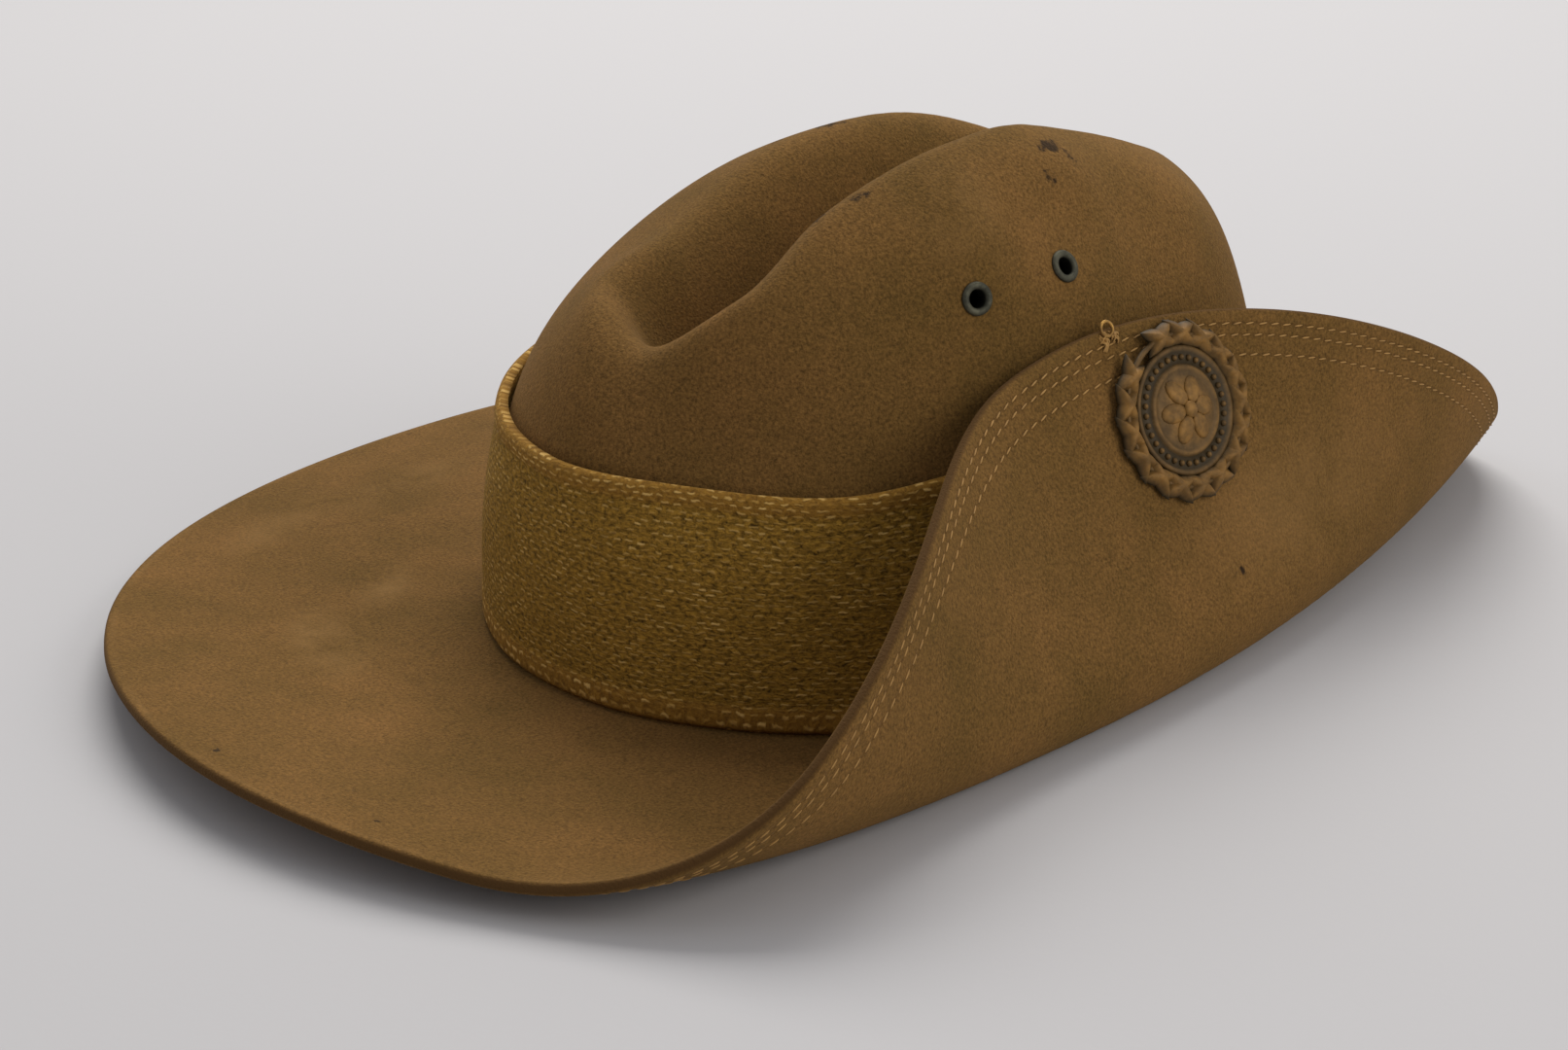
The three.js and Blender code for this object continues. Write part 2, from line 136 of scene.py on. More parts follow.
def waviness(points: np.ndarray, wavelength: float, seed: float) -> np.ndarray:
    """Gentle seeded noise of about -1 to 1 at points in millimetres.

    Args:
        points: positions, in millimetres.
        wavelength: size of the waves, in millimetres.
        seed: moves the pattern, so that two uses differ.

    Returns:
        One value for each point.
    """
    flat = points.reshape(-1, 3) / wavelength + seed
    values = np.array([noise.noise(Vector(p)) for p in flat])
    return values.reshape(points.shape[:-1])


# The shape of the hat


@dataclass(frozen=True)
class Dent:
    """A soft dent in the crown: rise, tall and depth are shares of the size in of, in mm."""

    of: float
    turn: float
    rise: float
    depth: float
    spread: float
    tall: float


@dataclass
class HatShape:
    """The felt's middle surface: crown, rounded break and brim with its turned-up side."""

    felt_wall: float = 2.6
    head_half_width: float = 84.0
    head_half_length: float = 100.5
    break_height: float = 8.2
    break_radius: float = 3.5
    crown_height: float = 118.0
    spine_half_length: float = 40.0
    spine_setback: float = 3.7
    spine_blend: float = 0.4
    crease_offset: float = 2.8
    brim_width: float = 90.0
    edge_height_front: float = 17.8
    edge_height_side: float = 2.8
    edge_height_rear: float = 6.6
    fold_past_head: float = 4.6
    fold_centre_y: float = -34.0
    fold_plan_radius: float = 395.0
    fold_reach: float = 150.0
    fold_radius: float = 12.6
    fold_opens_front: float = 40.5
    fold_opens_rear: float = 10.4
    fold_angle: float = 118.0
    fold_loss_front: float = 65.0
    fold_loss_rear: float = 24.5
    lean_left: float = 1.15
    dent_fade: float = 1.6
    crown_sections: tuple = (
        (0, 0.84, 2.65),
        (45, 0.95, 2.6),
        (90, 1.015, 3.0),
        (135, 0.905, 3.3),
        (180, 0.865, 2.6),
        (225, 0.905, 2.4),
        (270, 0.88, 2.45),
        (315, 0.775, 2.55),
    )
    brim_sections: tuple = (
        (0, 1.05),
        (45, 1.07),
        (90, 1.085),
        (135, 0.965),
        (180, 0.96),
        (225, 0.995),
        (270, 1.015),
        (315, 1.005),
    )
    crease_sections: tuple = (
        (-0.92, 0.0, 0.16),
        (-0.8, 0.1, 0.25),
        (-0.68, 0.29, 0.35),
        (-0.5, 0.4, 0.35),
        (-0.1, 0.47, 0.42),
        (0.3, 0.42, 0.4),
        (0.55, 0.24, 0.39),
        (0.78, 0.0, 0.28),
    )
    dents: tuple = (
        Dent(90.0, 88, 0.77, 0.135, 40, 0.345),
        Dent(118.0, 104, 0.85, 0.05, 16, 0.155),
        Dent(118.0, 84, 0.86, 0.038, 11, 0.12),
        Dent(118.0, 20, 0.55, 0.038, 18, 0.18),
    )
    shift: np.ndarray = field(default_factory=lambda: np.zeros(3))

    def __post_init__(self) -> None:
        """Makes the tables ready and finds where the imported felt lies."""
        self.crown_table = closed_table(self.crown_sections)
        self.brim_table = closed_table(self.brim_sections)
        self.crease_table = np.array(self.crease_sections, dtype=float)
        self.settle()

    def settle(self) -> None:
        """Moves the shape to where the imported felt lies, by their boxes."""
        turn, place = np.meshgrid(np.linspace(0, 2 * np.pi, 241), np.linspace(0.01, 3, 150))
        upper = self.to_frame(self.face(turn, place, self.felt_wall / 2), pressed=False)
        under = self.to_frame(self.face(turn, place, -self.felt_wall / 2), pressed=False)
        both = np.concatenate([upper.reshape(-1, 3), under.reshape(-1, 3)])
        low, high = (np.array(corner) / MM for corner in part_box("felt_body"))
        middle = (low + high) / 2 - (both.min(axis=0) + both.max(axis=0)) / 2
        self.shift = np.array([middle[0], middle[1], high[2] - both[:, 2].max()])

    def crown_value(self, column: int, degrees: np.ndarray) -> np.ndarray:
        """Value of a column of the crown's table at a turn."""
        return table_value(self.crown_table, column, degrees)

    def oval(self, turn: np.ndarray) -> tuple[np.ndarray, np.ndarray]:
        """Finds the head's oval in plan.

        Args:
            turn: places round the hat, in radians.

        Returns:
            The points, and the outward directions there.
        """
        point = np.stack([self.head_half_width * np.sin(turn), -self.head_half_length * np.cos(turn)], -1)
        normal = np.stack([np.sin(turn) / self.head_half_width, -np.cos(turn) / self.head_half_length], -1)
        return point, unit(normal)

    def crease_depth(self, x: np.ndarray, y: np.ndarray) -> np.ndarray:
        """Finds how far the fore-and-aft crease drops the top of the crown.

        Args:
            x: distances to the wearer's left.
            y: distances to the rear.

        Returns:
            The depths, 0 outside the crease.
        """
        along = y / self.head_half_length
        inside = (along > self.crease_table[0, 0]) & (along < self.crease_table[-1, 0])
        depth = table_value(self.crease_table, 1, along) * self.crown_height
        width = table_value(self.crease_table, 2, along) * self.head_half_width
        return np.where(inside, np.maximum(depth, 0) * bump((x - self.crease_offset) / width), 0.0)

    def spine_height(self, turn: np.ndarray) -> np.ndarray:
        """Finds the height of the spine before the crease, the same on its left and its right.

        Args:
            turn: places round the hat, in radians.

        Returns:
            The heights.
        """
        fore = np.cos(turn)
        front, rear, left, right = (self.crown_value(1, np.array(d)) for d in (0.0, 180.0, 90.0, 270.0))
        end = np.where(fore > 0, front, rear)
        middle = (left + right) / 2
        return (middle + (end - middle) * fore**2) * self.crown_height

    def crown_point(self, turn: np.ndarray, down: np.ndarray) -> np.ndarray:
        """Finds points of the crown.

        Args:
            turn: places round the hat, in radians.
            down: 0 at the spine along the top and 1 at the foot.

        Returns:
            The points.
        """
        degrees = np.degrees(turn) % 360
        square = self.crown_value(2, degrees)
        angle = np.clip(down, 0, 1) * np.pi / 2
        reach = np.sin(angle) ** (2 / square)
        rise = np.maximum(np.cos(angle), 0) ** (2 / square)
        share = smooth_step(0, self.spine_blend, reach)
        top = self.spine_height(turn)
        height = top + (self.crown_value(1, degrees) * self.crown_height - top) * share
        inward = np.zeros_like(reach)
        for dent in self.dents:
            apart = np.abs(degrees - dent.turn)
            aside = np.minimum(apart, 360 - apart) / (dent.spread * self.dent_fade)
            up = (height * rise - dent.rise * dent.of) / (dent.tall * dent.of * self.dent_fade)
            inward += dent.depth * dent.of * bump(np.minimum(np.hypot(aside, up), 1)) * share
        point, normal = self.oval(turn)
        spine = self.spine_half_length * (1 - reach)
        x = point[..., 0] * reach - inward * normal[..., 0]
        y = point[..., 1] * reach - spine * np.cos(turn) + self.spine_setback * (reach - 1)
        y = y - inward * normal[..., 1]
        z = self.break_height + self.break_radius + height * rise - self.crease_depth(x, y)
        return np.stack([x, y, z], -1)

    def break_point(self, turn: np.ndarray, share: np.ndarray) -> np.ndarray:
        """Finds points of the rounded break between crown and brim.

        Args:
            turn: places round the hat, in radians.
            share: 0 at the crown and 1 at the brim.

        Returns:
            The points.
        """
        angle = share * np.pi / 2
        point, normal = self.oval(turn)
        plan = point + normal * (self.break_radius * (1 - np.cos(angle)))[..., None]
        lift = self.break_height + self.break_radius * (1 - np.sin(angle))
        return np.concatenate([plan, lift[..., None]], -1)

    def brim_width_at(self, turn: np.ndarray) -> np.ndarray:
        """Width of the brim at a turn."""
        return self.brim_width * table_value(self.brim_table, 1, np.degrees(turn) % 360)

    def brim_point(self, turn: np.ndarray, share: np.ndarray) -> np.ndarray:
        """Finds points of the brim.

        Args:
            turn: places round the hat, in radians.
            share: 0 at the break and 1 at the edge.

        Returns:
            The points.
        """
        fore = np.cos(turn)
        side = np.sin(turn)
        end = np.where(fore > 0, self.edge_height_front, self.edge_height_rear)
        hooked = np.maximum(side, 0) ** 2
        edge = (end * fore**2 + self.edge_height_side * side**2) * (1 - hooked) + self.break_height * hooked
        out = self.break_radius + share * (self.brim_width_at(turn) - self.break_radius)
        point, normal = self.oval(turn)
        lift = self.break_height + (edge - self.break_height) * share**2
        return self.fold(np.concatenate([point + normal * out[..., None], lift[..., None]], -1))

    def fold(self, points: np.ndarray) -> np.ndarray:
        """Turns up what lies beyond the arc of the fold.

        Args:
            points: points of the flat brim.

        Returns:
            The points, bent where they are past the arc.
        """
        centre_x = self.head_half_width + self.fold_past_head - self.fold_plan_radius
        centre = np.array([centre_x, self.fold_centre_y])
        from_centre = points[..., :2] - centre
        length = np.linalg.norm(from_centre, axis=-1)
        beyond = np.maximum(length - self.fold_plan_radius, 0)
        outward = from_centre / length[..., None]
        along = (points[..., 1] - self.fold_centre_y) / self.fold_reach
        opens = np.where(along < 0, self.fold_opens_front, self.fold_opens_rear)
        loss = np.where(along < 0, self.fold_loss_front, self.fold_loss_rear)
        radius = self.fold_radius + opens * along**2
        angle = np.radians(np.maximum(self.fold_angle - loss * along**2, 3))
        bent = np.minimum(beyond / radius, angle)
        straight = np.maximum(beyond - radius * angle, 0)
        reach = self.fold_plan_radius + radius * np.sin(bent) + straight * np.cos(angle)
        lift = radius * (1 - np.cos(bent)) + straight * np.sin(angle)
        turned = np.concatenate([centre + outward * reach[..., None], (points[..., 2] + lift)[..., None]], -1)
        return np.where((beyond > 0)[..., None], turned, points)

    def middle(self, turn: np.ndarray, place: np.ndarray) -> np.ndarray:
        """Finds the middle of the felt.

        Args:
            turn: places round the hat, in radians.
            place: 0 to 1 on the crown, 1 to 2 on the break and 2 to 3 on the brim.

        Returns:
            The points.
        """
        turn, place = np.broadcast_arrays(np.asarray(turn, float), np.asarray(place, float))
        crown = self.crown_point(turn, np.minimum(place, 1))
        rounded = self.break_point(turn, np.clip(place - 1, 0, 1))
        brim = self.brim_point(turn, np.clip(place - 2, 0, 1))
        return np.where((place < 1)[..., None], crown, np.where((place < 2)[..., None], rounded, brim))

    def normal(self, turn: np.ndarray, place: np.ndarray) -> np.ndarray:
        """Finds the directions out of the felt's outer face.

        Args:
            turn: places round the hat, in radians.
            place: places from the spine to the edge, 0 to 3.

        Returns:
            The directions, of length 1.
        """
        turn, place = np.broadcast_arrays(np.asarray(turn, float), np.asarray(place, float))
        start = np.clip(place - PROBE, 2 * PROBE, 3 - 3 * PROBE)
        across = self.middle(turn, start + 2 * PROBE) - self.middle(turn, start)
        round_it = self.middle(turn + PROBE, start + PROBE) - self.middle(turn - PROBE, start + PROBE)
        general = unit(-np.cross(round_it, across))
        y = self.crown_point(turn, np.zeros_like(turn))[..., 1]
        zero = np.zeros_like(y)
        slope = (self.crease_depth(zero + PROBE, y) - self.crease_depth(zero - PROBE, y)) / (2 * PROBE)
        fall = (self.crease_depth(zero, y + PROBE) - self.crease_depth(zero, y - PROBE)) / (2 * PROBE)
        spine = unit(np.stack([slope, fall, np.ones_like(y)], -1))
        return np.where((place < PROBE)[..., None], spine, general)

    def face(self, turn: np.ndarray, place: np.ndarray, offset: np.ndarray | float) -> np.ndarray:
        """Point at a distance from the middle of the felt."""
        distance = np.broadcast_to(np.asarray(offset, float), np.broadcast(turn, place).shape)
        return self.middle(turn, place) + self.normal(turn, place) * distance[..., None]

    def lean(self) -> np.ndarray:
        """Rotation of the hat as it lies, leaning a little to the turned-up side."""
        a = math.radians(self.lean_left)
        return np.array([[math.cos(a), 0, math.sin(a)], [0, 1, 0], [-math.sin(a), 0, math.cos(a)]])

    def to_frame(self, points: np.ndarray, pressed: bool = True) -> np.ndarray:
        """Moves points of the hat to the shared frame, still in millimetres.

        Args:
            points: positions in the hat's own frame.
            pressed: whether felt below the floor is flattened on it.

        Returns:
            The positions as the hat lies.
        """
        moved = points @ self.lean().T + self.shift
        if pressed:
            moved[..., 2] = np.maximum(moved[..., 2], 0)
        return moved

    def seat(self, turn: float, place: float, side: Side, stand_off: float) -> Matrix:
        """Frame on a face of the felt, z out of it and y up along it, in metres.

        Args:
            turn: place round the hat, in degrees.
            place: place from the spine to the edge.
            side: the face that it is on.
            stand_off: distance from that face, in millimetres.

        Returns:
            The frame as a matrix.
        """
        t = np.array(math.radians(turn))
        normal = self.normal(t, np.array(place)) * side.value
        origin = self.middle(t, np.array(place)) + normal * (self.felt_wall / 2 + stand_off)
        step = -PROBE * side.value
        along = unit(self.middle(t, np.array(place + step)) - self.middle(t, np.array(place)))
        across = unit(np.cross(along, normal))
        up = np.cross(normal, across)
        basis = self.lean() @ np.stack([across, up, normal], -1)
        matrix = Matrix([list(row) for row in basis]).to_4x4()
        matrix.translation = Vector(self.to_frame(origin, pressed=False) * MM)
        return matrix @ Matrix.Scale(MM, 4)

    def place_at_rise(self, turn: np.ndarray, rise: np.ndarray) -> np.ndarray:
        """Place on the crown at a share of its height."""
        square = self.crown_value(2, np.degrees(turn) % 360)
        return (2 / np.pi) * np.arccos(np.clip(rise, 0, 1) ** (square / 2))

    def height_at(self, turn: np.ndarray) -> np.ndarray:
        """Height of the crown above the break at a turn."""
        return self.crown_value(1, np.degrees(turn) % 360) * self.crown_height


# Meshes


def sheet_mesh(
    name: str, points: np.ndarray, layers: dict[str, np.ndarray], uv: np.ndarray
) -> bpy.types.Object:
    """Makes a piece from a grid of points that closes round the hat.

    Args:
        name: name of the piece.
        points: positions in millimetres, as rows by columns, first and last column alike.
        layers: values kept on the points, by name.
        uv: two values for each point, in millimetres.

    Returns:
        The new object.
    """
    rows, columns = points.shape[:2]
    bm = bmesh.new()
    bmesh.ops.create_grid(bm, x_segments=columns - 1, y_segments=rows - 1, size=1, calc_uvs=True)
    stores = {key: bm.verts.layers.float.new(key) for key in layers}
    uv_layer = bm.loops.layers.uv.verify()
    uv_layer_name = uv_layer.name
    index = {}
    for vert in bm.verts:
        column = round((vert.co.x + 1) / 2 * (columns - 1))
        row = round((vert.co.y + 1) / 2 * (rows - 1))
        index[vert] = (row, column)
    for face in bm.faces:
        for loop in face.loops:
            loop[uv_layer].uv = uv[index[loop.vert]]
    for vert, at in index.items():
        vert.co = Vector(points[at] * MM)
        for key, store in stores.items():
            vert[store] = float(layers[key][at])
    bmesh.ops.remove_doubles(bm, verts=bm.verts, dist=1e-6)
    bmesh.ops.recalc_face_normals(bm, faces=bm.faces)
    piece = finish_mesh(name, bm)
    piece.data.uv_layers[uv_layer_name].name = "Cloth"
    return piece


def finish_mesh(name: str, bm: bmesh.types.BMesh, smooth: bool = True) -> bpy.types.Object:
    """Turns a bmesh into an object of the scene at the origin.

    Args:
        name: name of the piece.
        bm: the mesh, in metres; it is freed.
        smooth: whether its faces are shaded smooth.

    Returns:
        The new object.
    """
    mesh = bpy.data.meshes.new(name)
    bm.to_mesh(mesh)
    bm.free()
    if smooth:
        mesh.shade_smooth()
    piece = bpy.data.objects.new(name, mesh)
    bpy.context.scene.collection.objects.link(piece)
    return piece


def apply_modifiers(piece: bpy.types.Object) -> None:
    """Applies a piece's modifiers to its mesh.

    Args:
        piece: the piece, whose mesh is replaced.
    """
    depsgraph = bpy.context.evaluated_depsgraph_get()
    finished = bpy.data.meshes.new_from_object(piece.evaluated_get(depsgraph), depsgraph=depsgraph)
    piece.modifiers.clear()
    piece.data = finished


def turned_verts(bm: bmesh.types.BMesh, profile: Sequence[tuple[float, float]], steps: int) -> list:
    """Spins a closed profile of radius and height round the z axis.

    Args:
        bm: the mesh that it is added to.
        profile: radius and height of each point.
        steps: steps round the turn.

    Returns:
        The new vertices.
    """
    before = set(bm.verts)
    verts = [bm.verts.new((r, 0, z)) for r, z in profile]
    edges = [bm.edges.new((a, b)) for a, b in zip(verts, verts[1:] + verts[:1])]
    bmesh.ops.spin(
        bm, geom=verts + edges, cent=(0, 0, 0), axis=(0, 0, 1), angle=2 * math.pi, steps=steps, use_merge=True
    )
    made = [v for v in bm.verts if v not in before]
    bmesh.ops.remove_doubles(bm, verts=made, dist=1e-5)
    return [v for v in bm.verts if v not in before]


# Finishes


def linear(hex_colour: str) -> tuple[float, float, float, float]:
    """Turns an sRGB hex colour to the linear values that a shader takes.

    Args:
        hex_colour: the colour, such as "#75572c".

    Returns:
        Red, green, blue and alpha.
    """
    parts = [int(hex_colour[i : i + 2], 16) / 255 for i in (1, 3, 5)]
    red, green, blue = (c / 12.92 if c <= 0.04045 else ((c + 0.055) / 1.055) ** 2.4 for c in parts)
    return (red, green, blue, 1.0)


def feed(tree: bpy.types.NodeTree, node: bpy.types.Node, inputs: dict) -> None:
    """Gives a node's sockets what they take.

    Args:
        tree: the material's tree.
        node: the node whose sockets are fed.
        inputs: for each input socket a value, an output or a node, whose first output is used.
    """
    for socket, source in inputs.items():
        if isinstance(source, bpy.types.Node):
            source = source.outputs[0]
        if isinstance(source, bpy.types.NodeSocket):
            tree.links.new(source, node.inputs[socket])
        else:
            node.inputs[socket].default_value = source


def add_node(
    tree: bpy.types.NodeTree, kind: str, inputs: dict | None = None, **settings: object
) -> bpy.types.Node:
    """Adds a node with its settings and what its sockets take.

    Args:
        tree: the material's tree.
        kind: the node's type.
        inputs: what its input sockets take, as for feed.
        settings: properties of the node.

    Returns:
        The new node.
    """
    node = tree.nodes.new(kind)
    for key, value in settings.items():
        setattr(node, key, value)
    feed(tree, node, inputs or {})
    return node


@dataclass(frozen=True)
class Finish:
    """A finish with the name of what the real surface is."""

    name: str

    def material(self) -> bpy.types.Material:
        """Makes the material of this finish.

        Returns:
            The material, named for the finish.
        """
        material = bpy.data.materials.new(self.name)
        material.use_nodes = True
        tree = material.node_tree
        tree.nodes.clear()
        shader = add_node(tree, "ShaderNodeBsdfPrincipled")
        self.dress(tree, shader)
        add_node(tree, "ShaderNodeOutputMaterial", {"Surface": shader.outputs["BSDF"]})
        return material

    def dress(self, tree: bpy.types.NodeTree, shader: bpy.types.Node) -> None:
        """Sets the shader of this finish."""
        raise NotImplementedError


@dataclass(frozen=True)
class FurFelt(Finish):
    """Blocked fur felt, wool and rabbit fur pressed and shaped wet.

    To the eye it is matt with a soft short nap, grainy close up and nearly even from afar. Its
    sewn lines are darker and handling leaves rubbed and soiled places. Its cut edge is darkened
    by painted shade, with a thin painted highlight along the top of the brim's edge.
    """

    ground: str = "#7a582e"
    deep: str = "#624922"
    # Lighter colour of the rubbed places, also used for the painted highlight along the brim's top edge.
    rubbed_and_edge_highlight: str = "#8a6a3e"
    soil: str = "#2c2015"
    # Darker colour of the sewn lines, also used for the painted shade on the brim's cut edge.
    cut: str = "#4f371c"
    sheen: str = "#c0975c"
    mottle_mm: float = 38.0
    fur_mm: float = 0.75
    nap_mm: float = 0.6
    fleck_mm: float = 2.6
    sewn_rows_mm: tuple = (2.9, 5.7, 10.5)
    sewn_line_mm: float = 0.7

    def dress(self, tree: bpy.types.NodeTree, shader: bpy.types.Node) -> None:
        """Builds the felt's colour and relief.

        Args:
            tree: the material's tree.
            shader: the shader that it feeds.
        """
        place = add_node(tree, "ShaderNodeTexCoord").outputs["Object"]
        mottle = add_node(
            tree,
            "ShaderNodeTexNoise",
            {"Vector": place, "Scale": 1 / (self.mottle_mm * MM), "Detail": 5.0, "Roughness": 0.62},
        )
        broad = add_node(tree, "ShaderNodeMapRange", {"Value": mottle, "From Min": 0.3, "From Max": 0.7})
        ground = add_node(
            tree,
            "ShaderNodeMixRGB",
            {"Fac": broad, "Color1": linear(self.deep), "Color2": linear(self.ground)},
        )
        fur = add_node(
            tree,
            "ShaderNodeTexNoise",
            {"Vector": place, "Scale": 1 / (self.fur_mm * MM), "Detail": 3.0, "Roughness": 0.75},
        )
        flecks = add_node(
            tree,
            "ShaderNodeMapRange",
            {"Value": fur, "From Min": 0.3, "From Max": 0.7, "To Min": 0.5, "To Max": 1.5},
        )
        furred = add_node(
            tree,
            "ShaderNodeMixRGB",
            {"Fac": 1.0, "Color1": ground, "Color2": flecks},
            blend_type=Blend.DARKEN.value,
        )
        # Lighter colour where the felt is rubbed, and a painted highlight along the top of the brim's edge.
        wear_and_edge_highlight = add_node(tree, "ShaderNodeAttribute", attribute_name="rubbed_and_edge_highlight")
        patchy = add_node(tree, "ShaderNodeMapRange", {"Value": mottle, "From Min": 0.38, "From Max": 0.58})
        wear_and_highlight_share = add_node(
            tree, "ShaderNodeMath", {0: wear_and_edge_highlight.outputs["Fac"], 1: patchy}, operation="MULTIPLY", use_clamp=True
        )
        worn = add_node(
            tree, "ShaderNodeMixRGB", {"Fac": wear_and_highlight_share, "Color1": furred, "Color2": linear(self.rubbed_and_edge_highlight)}
        )
        # Painted shade: the cut face of the brim's edge takes the darker cut colour.
        edge = add_node(tree, "ShaderNodeAttribute", attribute_name="cut_edge_shade")
        edged = add_node(
            tree, "ShaderNodeMixRGB", {"Fac": edge.outputs["Fac"], "Color1": worn, "Color2": linear(self.cut)}
        )
        sewn = self.sewn_lines(tree)
        pressed = add_node(tree, "ShaderNodeMath", {0: sewn, 1: 0.35}, operation="MULTIPLY")
        lined = add_node(
            tree, "ShaderNodeMixRGB", {"Fac": pressed, "Color1": edged, "Color2": linear(self.cut)}
        )
        spots = add_node(tree, "ShaderNodeAttribute", attribute_name="soil")
        ragged = add_node(
            tree,
            "ShaderNodeTexNoise",
            {"Vector": place, "Scale": 1 / (self.fleck_mm * MM), "Detail": 5.0, "Roughness": 0.7},
        )
        reach = add_node(
            tree, "ShaderNodeMath", {0: spots.outputs["Fac"], 1: 0.5, 2: ragged}, operation="MULTIPLY_ADD"
        )
        stain = add_node(
            tree,
            "ShaderNodeMapRange",
            {"Value": reach, "From Min": 0.74, "From Max": 0.92},
            interpolation_type="SMOOTHSTEP",
        )
        dirty = add_node(
            tree, "ShaderNodeMixRGB", {"Fac": stain, "Color1": lined, "Color2": linear(self.soil)}
        )
        nap = add_node(
            tree,
            "ShaderNodeTexNoise",
            {"Vector": place, "Scale": 1 / (self.nap_mm * MM), "Detail": 2.0, "Roughness": 0.6},
        )
        lumps = add_node(tree, "ShaderNodeBump", {"Height": mottle, "Strength": 0.5, "Distance": 1.4 * MM})
        grooves = add_node(
            tree,
            "ShaderNodeBump",
            {"Height": sewn, "Strength": 0.6, "Distance": 0.3 * MM, "Normal": lumps},
            invert=True,
        )
        relief = add_node(
            tree, "ShaderNodeBump", {"Height": nap, "Strength": 0.8, "Distance": 0.4 * MM, "Normal": grooves}
        )
        feed(tree, shader, {"Base Color": dirty, "Normal": relief, "Roughness": 0.95})
        feed(tree, shader, {"Specular IOR Level": 0.12, "Sheen Weight": 0.2, "Sheen Roughness": 0.5})
        feed(tree, shader, {"Sheen Tint": linear(self.sheen)})

    def sewn_lines(self, tree: bpy.types.NodeTree) -> bpy.types.NodeSocket:
        """Finds the lines that the sewing presses into the brim's underside.

        Args:
            tree: the material's tree.

        Returns:
            A value that is 1 along each sewn row and 0 away from it.
        """
        from_edge = add_node(tree, "ShaderNodeAttribute", attribute_name="from_edge")
        nearest = None
        for row in self.sewn_rows_mm:
            past = add_node(
                tree, "ShaderNodeMath", {0: from_edge.outputs["Fac"], 1: row}, operation="SUBTRACT"
            )
            away = add_node(tree, "ShaderNodeMath", {0: past}, operation="ABSOLUTE")
            if nearest is None:
                nearest = away.outputs[0]
            else:
                pair = {0: nearest, 1: away.outputs[0]}
                nearest = add_node(tree, "ShaderNodeMath", pair, operation="MINIMUM").outputs[0]
        line = add_node(
            tree,
            "ShaderNodeMapRange",
            {"Value": nearest, "From Min": 0.0, "From Max": self.sewn_line_mm, "To Min": 1.0, "To Max": 0.0},
            interpolation_type="SMOOTHSTEP",
        )
        return line.outputs["Result"]


